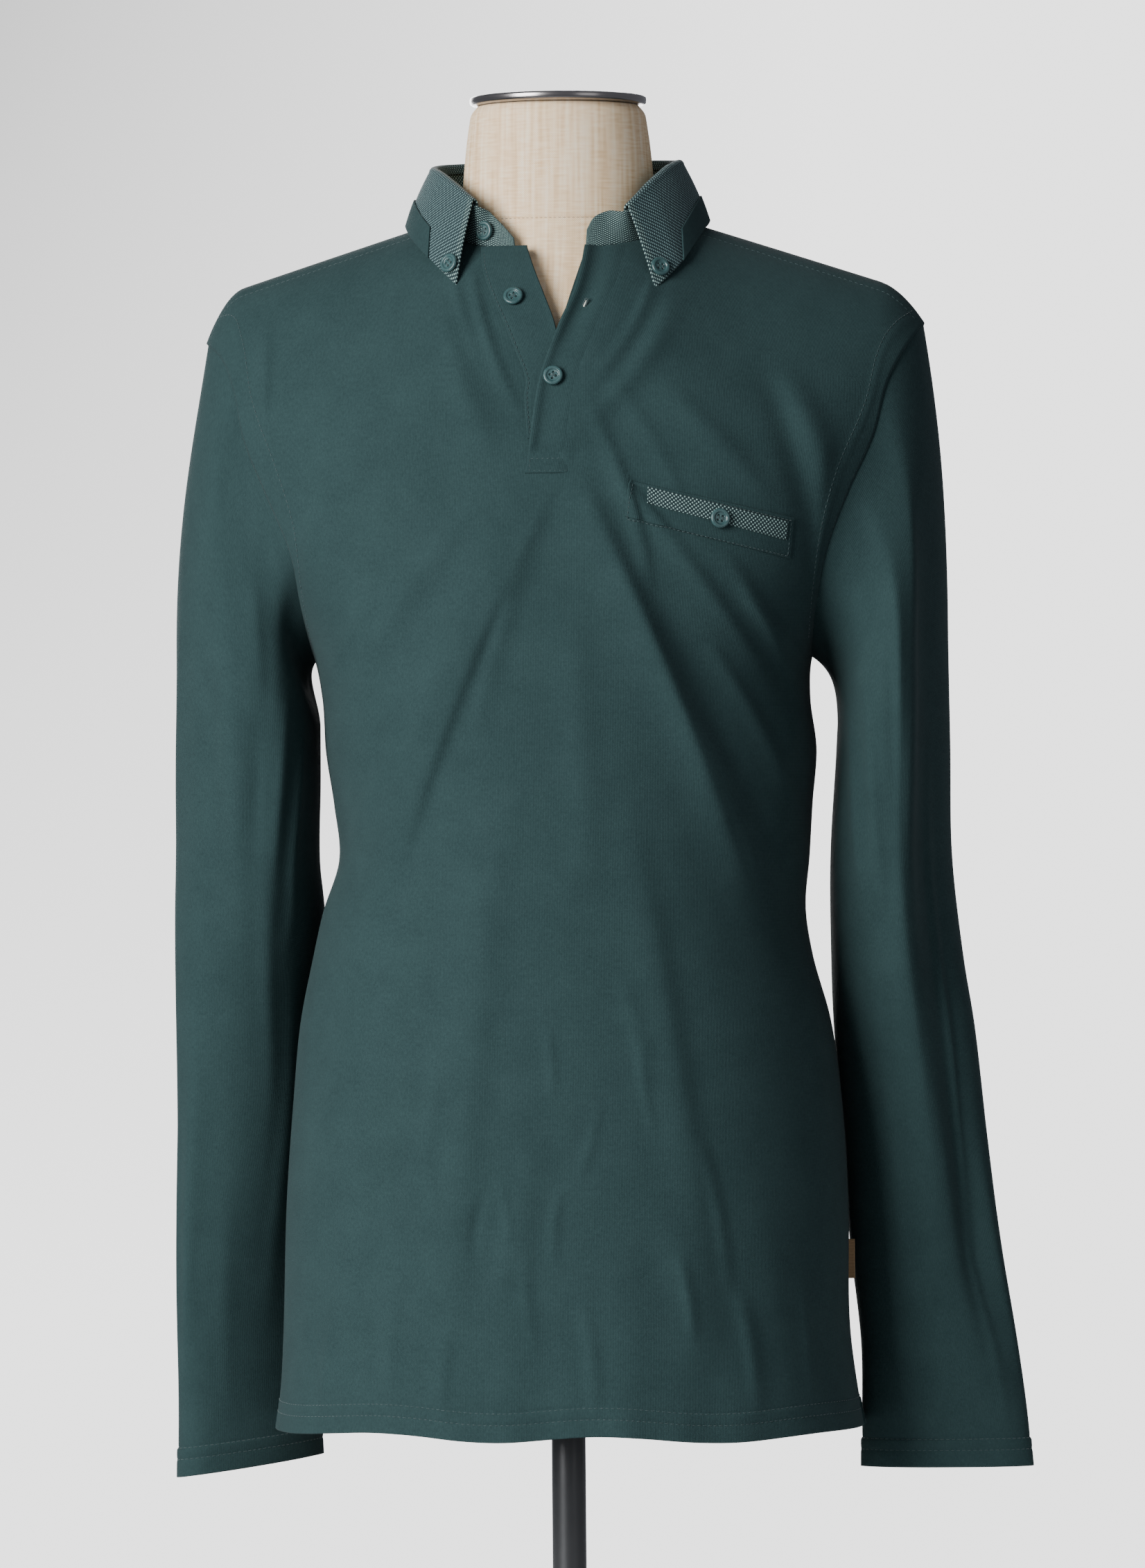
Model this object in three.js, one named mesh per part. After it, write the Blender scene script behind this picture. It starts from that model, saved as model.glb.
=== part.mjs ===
// A long-sleeved polo shirt with a buttoned-down collar, worn by a limbless dress form on a short stand.
// Millimetres. +Z is up, the front of the shirt faces -Y, and the origin is the middle of the base's underside.
// "left" and "right" are as seen from the front, so left is at -X.

import * as THREE from 'three';

// Driving sizes of the shirt
const CLOTH = 1.5;            // thickness of the jersey wall
const SEAM_HALF_GAP = 0.2;    // each edge stands back this much from the seam line
const UNDERARM_GAP = 1.8;     // the sleeve's edge stands back further where it folds under the arm
const HEM_Z = 157.6;          // height of the hem at the left side seam
const HEM_HALF = 172;         // half-width of the hem
const HEM_DROP = 3.8;         // how much lower the hem hangs towards the right side seam
const ARMPIT_Z = 604;         // height of the underarm point
const RIDGE_Y = 3;            // the shoulder seam runs this far behind the middle of the form
const NECK_SIDE_X = 68;       // where the shoulder seam meets the collar
const NECK_SIDE_Z = 860;
const NECK_ROUND = 25;        // rounding of the shoulder line as it passes under the neck
const SHOULDER_SLOPE = Math.tan(THREE.MathUtils.degToRad(18.2));
// Height over which the body fills out below the shoulder line, near the neck and out at the shoulder
const FILL_HIGH = { front: 110, back: 150, shoulder: 160 };
const FILL_NECK_X = 50;
const FILL_SHOULDER_X = 130;
const FORM_SQUARE = 2.2;      // squareness of the dress form, 2 is an ellipse
const NECK_FRONT_DROP = 19;   // the front neckline is this much lower than its side point
const NECK_BACK_DROP = 3;
const PLACKET_X = 20.5;       // half of the gap between the two ends of the collar stand
const PLACKET_APEX = { x: 5, z: 787 };

// The shoulder tips differ a little, as the shirt sits a little to one side
const SHOULDERS = {
  left: { sign: -1, tipX: 207.5, breakX: 185, drop: 25 },
  right: { sign: 1, tipX: 213, breakX: 187, drop: 16 },
};

// Sections of the shirt's body: half-widths to each side, depths to the front and the back, and how
// square the section is (2 is an ellipse)
const BODY = [
  { z: 150, left: 172, right: 174, front: 133, back: 128, square: 2.2 },
  { z: 178, left: 168, right: 169, front: 133, back: 127, square: 2.2 },
  { z: 212, left: 166, right: 165, front: 132, back: 126, square: 2.2 },
  { z: 287, left: 163.5, right: 164.5, front: 131, back: 124, square: 2.2 },
  { z: 347, left: 159, right: 161, front: 130, back: 121, square: 2.2 },
  { z: 392, left: 154.5, right: 155, front: 129, back: 118, square: 2.2 },
  { z: 429, left: 147, right: 145, front: 128, back: 116, square: 2.2 },
  { z: 457, left: 140.5, right: 141, front: 127.5, back: 115, square: 2.2 },
  { z: 487, left: 131, right: 143.5, front: 127.5, back: 114, square: 2.2 },
  { z: 518, left: 133.5, right: 145.5, front: 128, back: 115, square: 2.25 },
  { z: 550, left: 138, right: 148, front: 129, back: 118, square: 2.35 },
  { z: 580, left: 139.5, right: 144.5, front: 130.5, back: 121, square: 2.45 },
  { z: 604, left: 144, right: 146, front: 131, back: 124, square: 2.45 },
  { z: 634, left: 156, right: 159, front: 130, back: 126.5, square: 2.4 },
  { z: 665, left: 172, right: 177, front: 127.5, back: 127, square: 2.3 },
  { z: 697, left: 190, right: 195, front: 122, back: 126, square: 2.2 },
  { z: 730, left: 208, right: 212, front: 113, back: 122, square: 2.2 },
  { z: 780, left: 230, right: 234, front: 99.5, back: 112, square: 2.2 },
  { z: 841, left: 250, right: 254, front: 88, back: 104, square: 2.2 },
  { z: 880, left: 262, right: 266, front: 82, back: 98, square: 2.2 },
];

// The seam between body and sleeve, from the underarm up to the shoulder tip
const ARMHOLE = [
  { z: 604, left: 144, right: 146 },
  { z: 634, left: 148, right: 151 },
  { z: 665, left: 152.5, right: 158 },
  { z: 697, left: 166, right: 170 },
  { z: 730, left: 180, right: 184.5 },
  { z: 762, left: 187.5, right: 193 },
  { z: 780, left: 196, right: 202 },
  { z: 797, left: 207.5, right: 213 },
];

// Sections of the sleeves: outer and inner side as seen from the front, middle and half-depth front to
// back, and lean, the angle by which the inner side lies further back than the outer side
const SLEEVES = {
  left: [
    { z: 120, outer: 234, inner: 153, middleY: 54, depth: 31, lean: 49 },
    { z: 160, outer: 233, inner: 153.5, middleY: 54, depth: 33, lean: 44 },
    { z: 259, outer: 231.8, inner: 154.5, middleY: 47, depth: 37, lean: 36 },
    { z: 347, outer: 231, inner: 152, middleY: 43, depth: 42, lean: 29 },
    { z: 410, outer: 231, inner: 149, middleY: 34, depth: 47, lean: 20 },
    { z: 454, outer: 230.5, inner: 144, middleY: 23, depth: 52, lean: 10 },
    { z: 486, outer: 229.5, inner: 145.3, middleY: 15, depth: 57, lean: 3 },
    { z: 535, outer: 228.3, inner: 143.6, middleY: 8, depth: 65, lean: 0 },
    { z: 585, outer: 227, inner: 143.4, middleY: 5, depth: 72, lean: 0 },
    { z: 640, outer: 226.8, inner: 144, middleY: 3, depth: 75, lean: 0 },
  ],
  right: [
    { z: 120, outer: 270, inner: 169.5, middleY: 33, depth: 13, lean: 0 },
    { z: 160, outer: 267, inner: 170, middleY: 34, depth: 19, lean: 4 },
    { z: 200, outer: 262, inner: 170, middleY: 32, depth: 25, lean: 6 },
    { z: 259, outer: 253, inner: 164, middleY: 30, depth: 31, lean: 9 },
    { z: 324, outer: 245, inner: 160.5, middleY: 28, depth: 39, lean: 10 },
    { z: 389, outer: 237.9, inner: 155.5, middleY: 22, depth: 47, lean: 10 },
    { z: 425, outer: 232.4, inner: 154.7, middleY: 17, depth: 53, lean: 6 },
    { z: 486, outer: 226.5, inner: 155.2, middleY: 9, depth: 63, lean: 0 },
    { z: 551, outer: 226.2, inner: 159.5, middleY: 4, depth: 72, lean: 0 },
    { z: 585, outer: 225.8, inner: 161, middleY: 3, depth: 76, lean: 0 },
    { z: 640, outer: 225.2, inner: 160, middleY: 2, depth: 79, lean: 0 },
  ],
};
const CUFF_Z = { left: 128, right: 128.5 };     // lowest ring of each sleeve, at its middle
const CUFF_TILT = { left: 5, right: 0 };        // the cuff's inner side hangs this much higher
const UNDERARM_OUT = { left: 0.7, right: 1.0 }; // how far outwards the cloth leaves the underarm
const CAP_END = { z: 588, slant: 24 };          // ring where the sleeve head becomes the straight sleeve
// Direction in which the sleeve's head leaves the seam: outwards at the shoulder tip, apart to the front and
// the back, up again under the arm, a share of the direction in which the body's cloth arrives, and how far
// along the way that direction is kept
const HANG = { shoulderOut: 0.16, spread: 0.22, underRise: 0.35, carry: 0.9, reach: 0.38 };

// The largest folds of the front: from a start to an end, bowed sideways, a ridge (+) or a trough (-)
const FRONT_FOLDS = [
  { fromX: -4, fromZ: 708, toX: -134, toZ: 402, bow: -9, wide: 17, high: 3.2 },
  { fromX: 14, fromZ: 708, toX: 150, toZ: 382, bow: 9, wide: 17, high: 3.4 },
  { fromX: 46, fromZ: 690, toX: 158, toZ: 300, bow: 16, wide: 15, high: -2.0 },
  { fromX: -36, fromZ: 690, toX: -152, toZ: 310, bow: -14, wide: 15, high: -1.6 },
  { fromX: -62, fromZ: 812, toX: -30, toZ: 716, bow: -5, wide: 9, high: 1.8 },
  { fromX: 70, fromZ: 806, toX: 32, toZ: 726, bow: 6, wide: 9, high: 1.9 },
  { fromX: -168, fromZ: 800, toX: -172, toZ: 715, bow: 2, wide: 8, high: 1.6 },
  { fromX: 128, fromZ: 800, toX: 138, toZ: 650, bow: 7, wide: 12, high: 1.6 },
  { fromX: -10, fromZ: 330, toX: -32, toZ: 230, bow: 3, wide: 10, high: 1.2 },
  { fromX: 60, fromZ: 300, toX: 84, toZ: 190, bow: 4, wide: 11, high: 1.2 },
  { fromX: -110, fromZ: 300, toX: -128, toZ: 170, bow: -3, wide: 13, high: 1.2 },
  { fromX: 118, fromZ: 300, toX: 134, toZ: 170, bow: 3, wide: 13, high: 1.2 },
];
const BACK_FOLDS = [
  { fromX: -150, fromZ: 730, toX: -60, toZ: 520, bow: 9, wide: 15, high: 2.2 },
  { fromX: 152, fromZ: 720, toX: 66, toZ: 500, bow: -9, wide: 15, high: 2.2 },
  { fromX: -40, fromZ: 560, toX: -72, toZ: 250, bow: -8, wide: 18, high: 2.6 },
  { fromX: 34, fromZ: 540, toX: 60, toZ: 240, bow: 7, wide: 18, high: 2.4 },
  { fromX: -4, fromZ: 520, toX: 2, toZ: 280, bow: 4, wide: 16, high: -2.0 },
  { fromX: -104, fromZ: 420, toX: -118, toZ: 200, bow: -4, wide: 15, high: 1.8 },
  { fromX: 100, fromZ: 430, toX: 116, toZ: 190, bow: 4, wide: 15, high: 1.8 },
];
// The largest folds of each sleeve: at an angle around it (0 is outside, -90 is the front), from a height
// down to another, drifting sideways on the way
const SLEEVE_FOLDS = {
  left: [
    { angle: -62, drift: -16, fromZ: 700, toZ: 420, wide: 10, high: 2.2 },
    { angle: -100, drift: 14, fromZ: 640, toZ: 470, wide: 9, high: -2.2 },
    { angle: -40, drift: 8, fromZ: 420, toZ: 170, wide: 11, high: 1.8 },
    { angle: 70, drift: 12, fromZ: 690, toZ: 400, wide: 12, high: 2.2 },
    { angle: 110, drift: -10, fromZ: 600, toZ: 350, wide: 11, high: 2.0 },
    { angle: 20, drift: 6, fromZ: 560, toZ: 300, wide: 12, high: 1.4 },
  ],
  right: [
    { angle: -58, drift: -20, fromZ: 720, toZ: 380, wide: 9, high: 2.6 },
    { angle: -96, drift: 16, fromZ: 650, toZ: 460, wide: 9, high: -2.0 },
    { angle: -70, drift: 10, fromZ: 380, toZ: 170, wide: 12, high: 1.8 },
    { angle: 64, drift: -14, fromZ: 700, toZ: 420, wide: 12, high: 2.2 },
    { angle: 108, drift: 12, fromZ: 610, toZ: 340, wide: 11, high: 2.0 },
    { angle: 24, drift: -8, fromZ: 540, toZ: 280, wide: 12, high: 1.4 },
  ],
};
const FOLD_FADE = 16;         // folds die out this far from a seam or an edge
const SIDE_FADE = 3;          // and closer to it at the sides, where the cloth is seen edge on

// Grid counts
const LOW_ROWS = 15;          // rows of the body from the hem to the underarm
const FRONT_HIGH_ROWS = 12;   // rows from the underarm to the shoulder
const BACK_HIGH_ROWS = 10;
const CAP_RINGS = 6;
const ARM_RINGS = 12;

// Shares of the way from the collar to the shoulder tip at which the columns of cloth meet the shoulder seam
const SHOULDER_SHARES = [0, 0.13, 0.27, 0.41, 0.56, 0.71, 0.85, 0.945, 1];
// Where the columns between the two shoulder seams meet the neckline
const FRONT_NECK_X = [PLACKET_X, 33, 46, 57.5, 65];
const BACK_NECK_X = [13, 27, 42, 55, 64];

const COLLAR_THICK = 1.4;
const LAYER_GAP = 0.5;        // air between a layer and what it is sewn on

// The collar from the front corner round to the middle of the back: the folded top edge, then the lower
// outer edge of the leaf. x is the distance to the side.
const COLLAR = {
  left: [
    { foldX: 45, foldY: -60, foldZ: 866, edgeX: 54.2, edgeY: -74, edgeZ: 818 },
    { foldX: 50, foldY: -53, foldZ: 870, edgeX: 62.5, edgeY: -66.5, edgeZ: 826 },
    { foldX: 57, foldY: -41, foldZ: 876, edgeX: 71, edgeY: -55.5, edgeZ: 834.5 },
    { foldX: 67, foldY: -21, foldZ: 884, edgeX: 82.5, edgeY: -30, edgeZ: 847 },
    { foldX: 74, foldY: 3, foldZ: 889, edgeX: 88.5, edgeY: 1, edgeZ: 857 },
    { foldX: 70, foldY: 27, foldZ: 892, edgeX: 82, edgeY: 29, edgeZ: 854.5 },
    { foldX: 54, foldY: 47, foldZ: 894, edgeX: 61, edgeY: 52, edgeZ: 849 },
    { foldX: 29, foldY: 58, foldZ: 895, edgeX: 31, edgeY: 63.5, edgeZ: 847 },
    { foldX: 0, foldY: 61, foldZ: 895.5, edgeX: 0, edgeY: 67, edgeZ: 846.5 },
  ],
  right: [
    { foldX: 44, foldY: -60, foldZ: 862, edgeX: 60.4, edgeY: -73.5, edgeZ: 814.5 },
    { foldX: 50, foldY: -51, foldZ: 869, edgeX: 67.5, edgeY: -67, edgeZ: 822 },
    { foldX: 57.5, foldY: -38, foldZ: 878, edgeX: 75, edgeY: -57, edgeZ: 831 },
    { foldX: 66, foldY: -19, foldZ: 887, edgeX: 83, edgeY: -31, edgeZ: 847 },
    { foldX: 71, foldY: 3, foldZ: 891.5, edgeX: 87, edgeY: 1, edgeZ: 857.5 },
    { foldX: 67, foldY: 27, foldZ: 893, edgeX: 81, edgeY: 29, edgeZ: 854.5 },
    { foldX: 52, foldY: 47, foldZ: 894.5, edgeX: 60, edgeY: 52, edgeZ: 849 },
    { foldX: 28, foldY: 58, foldZ: 895, edgeX: 30, edgeY: 63.5, edgeZ: 847 },
    { foldX: 0, foldY: 61, foldZ: 895.5, edgeX: 0, edgeY: 67, edgeZ: 846.5 },
  ],
};
const BAND_WIDE = 16;         // width of the plain band along the leaf's edge
const BAND_FIRST = 2;         // station where the band's slanted end begins
const BAND_SLANT = 0.55;      // the band's upper corner starts this many stations further round
const BAND_THICK = 0.9;
// The rounded front ends of the collar stand beyond the leaf, and how high they rise
const STAND_ENDS = {
  left: [
    { x: 20.8, top: 845.5 },
    { x: 27.8, top: 853.8 },
    { x: 35, top: 861 },
  ],
  right: [
    { x: 19.6, top: 850 },
    { x: 24, top: 857.5 },
    { x: 32, top: 861 },
  ],
};

// Front opening: free edge of each strip, top to bottom, and its other edge one width away
const PLACKET_WIDE = 27;
const PLACKET_THICK = 1.0;
const PLACKET_LIFT = 1.3;     // the strips are sewn on over a facing, so they stand a little proud
const PLACKET_OVER_EDGE = [
  { z: 840, x: 19.2 },
  { z: 814, x: 13.4 },
  { z: 794, x: 5.2 },
  { z: 779, x: 0.4 },
  { z: 764, x: -4.2 },
  { z: 749, x: -6.6 },
  { z: 735, x: -8.6 },
  { z: 722, x: -10.2 },
  { z: 710, x: -11.6 },
];
const PLACKET_UNDER_EDGE = [
  { z: 839, x: -13.8 },
  { z: 826, x: -8.8 },
  { z: 812, x: -2.8 },
  { z: 798, x: 3.2 },
  { z: 781, x: 6.8 },
  { z: 764, x: 10 },
  { z: 749, x: 12 },
  { z: 735, x: 13.2 },
  { z: 723, x: 14 },
];

// Chest pocket: corners of the plain welt and of the dotted strip, as seen from the front
const WELT = {
  topLeft: { x: 47.3, z: 702 }, topRight: { x: 138.6, z: 676.5 },
  bottomLeft: { x: 44.9, z: 682.3 }, bottomRight: { x: 137.4, z: 658 },
};
const STRIP = {
  topLeft: { x: 57.9, z: 699 }, topRight: { x: 136, z: 679.4 },
  bottomLeft: { x: 57.2, z: 689.4 }, bottomRight: { x: 134.9, z: 668.8 },
};
const WELT_THICK = 0.8;
const STRIP_THICK = 0.6;

// Buttons: four-holed, 18 ligne
const BUTTON_R = 5.7;
const BUTTON_THICK = 2.2;
const BUTTON_HOLE_R = 0.7;
const BUTTON_HOLE_OFF = 1.35;
const BUTTON_SIDES = 20;
const BUTTON_HOLE_SIDES = 5;

// Side label, folded into the right side seam
const LABEL = { topZ: 263.5, bottomZ: 240.5, out: 3.4, thick: 0.9 };

// Dress form and stand
const FORM_BOTTOM_Z = 232;
const FORM_DROP = 3.3;        // the form's shoulders lie this far below the shirt's outer face
const FORM = [
  { z: 232, half: 122, front: 96, back: 90 },
  { z: 260, half: 133, front: 107, back: 101 },
  { z: 330, half: 135, front: 111, back: 104 },
  { z: 420, half: 128, front: 110, back: 100 },
  { z: 487, half: 123, front: 110, back: 98 },
  { z: 560, half: 130, front: 116, back: 106 },
  { z: 604, half: 133, front: 120, back: 112 },
  { z: 650, half: 145, front: 121, back: 119 },
  { z: 697, half: 160, front: 115, back: 119 },
  { z: 740, half: 172, front: 104, back: 114 },
  { z: 780, half: 180, front: 94, back: 106 },
  { z: 820, half: 186, front: 82, back: 97 },
  { z: 880, half: 196, front: 72, back: 86 },
];
const NECK = [
  { z: 840, half: 57, front: 53, back: 45 },
  { z: 858, half: 57, front: 52.5, back: 45.5 },
  { z: 890, half: 55, front: 50, back: 46 },
  { z: 915, half: 52, front: 48.5, back: 46.5 },
  { z: 921.5, half: 50.6, front: 47.6, back: 46 },
  { z: 926, half: 47, front: 44.8, back: 43.8 },
];
const NECK_START_Z = 838;
const NECK_GIVE_WAY = 15;     // the shoulders give way this far to the neck's flare
const FORM_LEVELS = [232, 250, 285, 330, 380, 430, 480, 530, 575, 610, 645, 680, 710, 738, 762, 782, 798,
  810, 819, 827, 834, 840, 846, 851, 856, 861, 870, 885, 902, 916, 921.5, 926];
const FORM_SIDES = 28;
const CAP_Z = 926.3;
const CAP_R = 51.6;
const CAP_HIGH = 5.3;
const POLE_R = 9.9;
const BASE_R = 150;
const BASE_HIGH = 12;

// Materials
const material = (color, roughness, metalness = 0) =>
  new THREE.MeshStandardMaterial({ color, roughness, metalness });
const JERSEY = material(0x2c4649, 0.9);
const DOTTED = material(0x4f7277, 0.85);
const BUTTON = material(0x4a6a6e, 0.45);
const LINEN = material(0xd8c8b6, 0.95);
const CAP_METAL = material(0xb9b5b3, 0.25, 1);
const POLE_METAL = material(0x3a3d40, 0.4, 0.8);
const TAN = material(0x8a6a44, 0.85);

// Small helpers

const lerp = (a, b, share) => a + (b - a) * share;
const clamp01 = (value) => Math.min(1, Math.max(0, value));
const smooth = (value) => {
  const t = clamp01(value);
  return t * t * (3 - 2 * t);
};

// A smooth curve through one column of a table, read at a place along another column
function read(table, key, column, at) {
  const rising = table[1][key] > table[0][key];
  const rows = rising ? table : [...table].reverse();
  const last = rows.length - 1;
  if (at <= rows[0][key]) return rows[0][column];
  if (at >= rows[last][key]) return rows[last][column];
  let i = 0;
  while (at > rows[i + 1][key]) i += 1;
  const slope = (a, b) => (rows[b][column] - rows[a][column]) / (rows[b][key] - rows[a][key]);
  const run = rows[i + 1][key] - rows[i][key];
  const here = slope(i, i + 1);
  const before = i > 0 ? (slope(i - 1, i) + here) / 2 : here;
  const after = i + 1 < last ? (here + slope(i + 1, i + 2)) / 2 : here;
  const t = (at - rows[i][key]) / run;
  const ease = t * t * (3 - 2 * t);
  return lerp(rows[i][column], rows[i + 1][column], ease)
    + run * t * (1 - t) * ((1 - t) * before - t * after);
}

// A smooth curve through the stations of a list, read at a fractional station number
function readStation(list, column, station) {
  const last = list.length - 1;
  const i = Math.min(last - 1, Math.max(0, Math.floor(station)));
  const value = (k) => (k < 0 ? 2 * list[0][column] - list[1][column]
    : k > last ? 2 * list[last][column] - list[last - 1][column] : list[k][column]);
  const t = station - i;
  const [a, b, c, d] = [value(i - 1), value(i), value(i + 1), value(i + 2)];
  return 0.5 * (2 * b + (c - a) * t + (2 * a - 5 * b + 4 * c - d) * t * t
    + (3 * b - a - 3 * c + d) * t * t * t);
}

// The torso's form, shared by the shirt and the dress form

const sideOf = (x) => (x < 0 ? SHOULDERS.left : SHOULDERS.right);
const sideName = (x) => (x < 0 ? 'left' : 'right');

// Height of the shoulder line above a place x, straight down the slope and rounding off at the tip
function ridgeHeight(x) {
  const { tipX, breakX, drop } = sideOf(x);
  const run = Math.hypot(x, NECK_ROUND) - Math.hypot(NECK_SIDE_X, NECK_ROUND);
  const past = Math.max(0, (Math.abs(x) - breakX) / (tipX - breakX));
  return NECK_SIDE_Z - SHOULDER_SLOPE * run - drop * past * past;
}

// How far a section has filled out at a depth below the shoulder line: a quarter of an ellipse
function filled(facing, x, below) {
  const away = smooth((Math.abs(x) - FILL_NECK_X) / (FILL_SHOULDER_X - FILL_NECK_X));
  const high = lerp(facing < 0 ? FILL_HIGH.front : FILL_HIGH.back, FILL_HIGH.shoulder, away);
  const share = clamp01(below / high);
  return Math.sqrt(2 * share - share * share);
}

const roundedSection = (share, square) =>
  Math.max(0, 1 - Math.min(1, Math.abs(share)) ** square) ** (1 / square);

// y of the shirt's outer face at (x, z); facing is -1 for the front and +1 for the back
function bodyDepth(facing, x, z) {
  const half = read(BODY, 'z', sideName(x), z);
  const depth = read(BODY, 'z', facing < 0 ? 'front' : 'back', z);
  const square = read(BODY, 'z', 'square', z);
  const reach = depth * roundedSection(x / half, square) - facing * RIDGE_Y;
  return RIDGE_Y + facing * reach * filled(facing, x, ridgeHeight(x) - z);
}

const hemHeight = (x) => HEM_Z - HEM_DROP * ((x / HEM_HALF + 1) / 2) ** 2;
const frontNeckHeight = (x) =>
  NECK_SIDE_Z - NECK_FRONT_DROP * (1 - Math.abs(x / NECK_SIDE_X) ** 5);
const backNeckHeight = (x) =>
  NECK_SIDE_Z - NECK_BACK_DROP * (1 - (x / NECK_SIDE_X) ** 2);

// Column tops from the left shoulder tip to the right one, as { x, z }
function columnTops(facing) {
  const neckX = facing < 0 ? FRONT_NECK_X : BACK_NECK_X;
  const neckHeight = facing < 0 ? frontNeckHeight : backNeckHeight;
  const shoulder = (side) => SHOULDER_SHARES.map((share) => {
    const x = side.sign * lerp(NECK_SIDE_X, side.tipX, share);
    return { x, z: ridgeHeight(x) };
  });
  const neck = (sign) => neckX.map((x) => ({ x: sign * x, z: neckHeight(x) }));
  const middle = facing < 0 ? { ...PLACKET_APEX } : { x: 0, z: neckHeight(0) };
  return [
    ...shoulder(SHOULDERS.left).reverse(), ...neck(-1).reverse(), middle,
    ...neck(1), ...shoulder(SHOULDERS.right),
  ];
}

// How much a fold lifts the cloth at (x, z)
function foldLift(folds, x, z) {
  return folds.reduce((sum, fold) => {
    const t = (fold.fromZ - z) / (fold.fromZ - fold.toZ);
    if (t <= 0 || t >= 1) return sum;
    const pathX = lerp(fold.fromX, fold.toX, t) + fold.bow * 4 * t * (1 - t);
    const lean = Math.cos(Math.atan2(fold.toX - fold.fromX, fold.fromZ - fold.toZ));
    const off = ((x - pathX) * lean) / fold.wide;
    const along = Math.sin(Math.PI * t) ** 0.7;
    return sum + fold.high * along * Math.exp(-off * off);
  }, 0);
}

// One panel of the body as rows of points, hem first
function bodyPanel(facing, highRows, folds) {
  const tops = columnTops(facing);
  const columns = tops.length;
  const rows = [];
  const point = (x, z, distanceToSeam) => {
    const fade = smooth(distanceToSeam / FOLD_FADE);
    const lift = foldLift(folds, x, z) * fade;
    return new THREE.Vector3(x, bodyDepth(facing, x, z) + facing * lift, z);
  };
  const across = (c) => (2 * c) / (columns - 1) - 1;
  for (let r = 0; r < LOW_ROWS; r += 1) {
    rows.push(tops.map((top, c) => {
      const w = across(c);
      const level = lerp(HEM_Z, ARMPIT_Z, r / LOW_ROWS);
      const swing = Math.sin((Math.PI / 2) * w);
      const nearHem = (1 - r / LOW_ROWS) ** 3;
      const z = level + nearHem * (hemHeight(HEM_HALF * swing) - HEM_Z);
      const half = read(BODY, 'z', sideName(w), z);
      return point(half * swing, z, SIDE_FADE * half * (1 - Math.abs(swing)));
    }));
  }
  for (let r = 0; r <= highRows; r += 1) {
    const t = Math.sin(((Math.PI / 2) * r) / highRows) ** 2;
    rows.push(tops.map((top, c) => {
      const w = across(c);
      const side = SHOULDERS[sideName(w)];
      const tipZ = ridgeHeight(side.sign * side.tipX);
      const edge = read(ARMHOLE, 'z', sideName(w), lerp(ARMPIT_Z, tipZ, t));
      const x = lerp(edge * Math.sin((Math.PI / 2) * w), (top.x * edge) / side.tipX, smooth(t));
      const z = lerp(ARMPIT_Z, top.z, t);
      const reachTop = r === highRows ? top.x : x;
      const sideways = (edge - Math.abs(x)) * lerp(SIDE_FADE, 1, smooth(2 * t));
      return point(reachTop, z, Math.max(0, Math.min(sideways, top.z - z)));
    }));
  }
  return rows;
}

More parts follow.
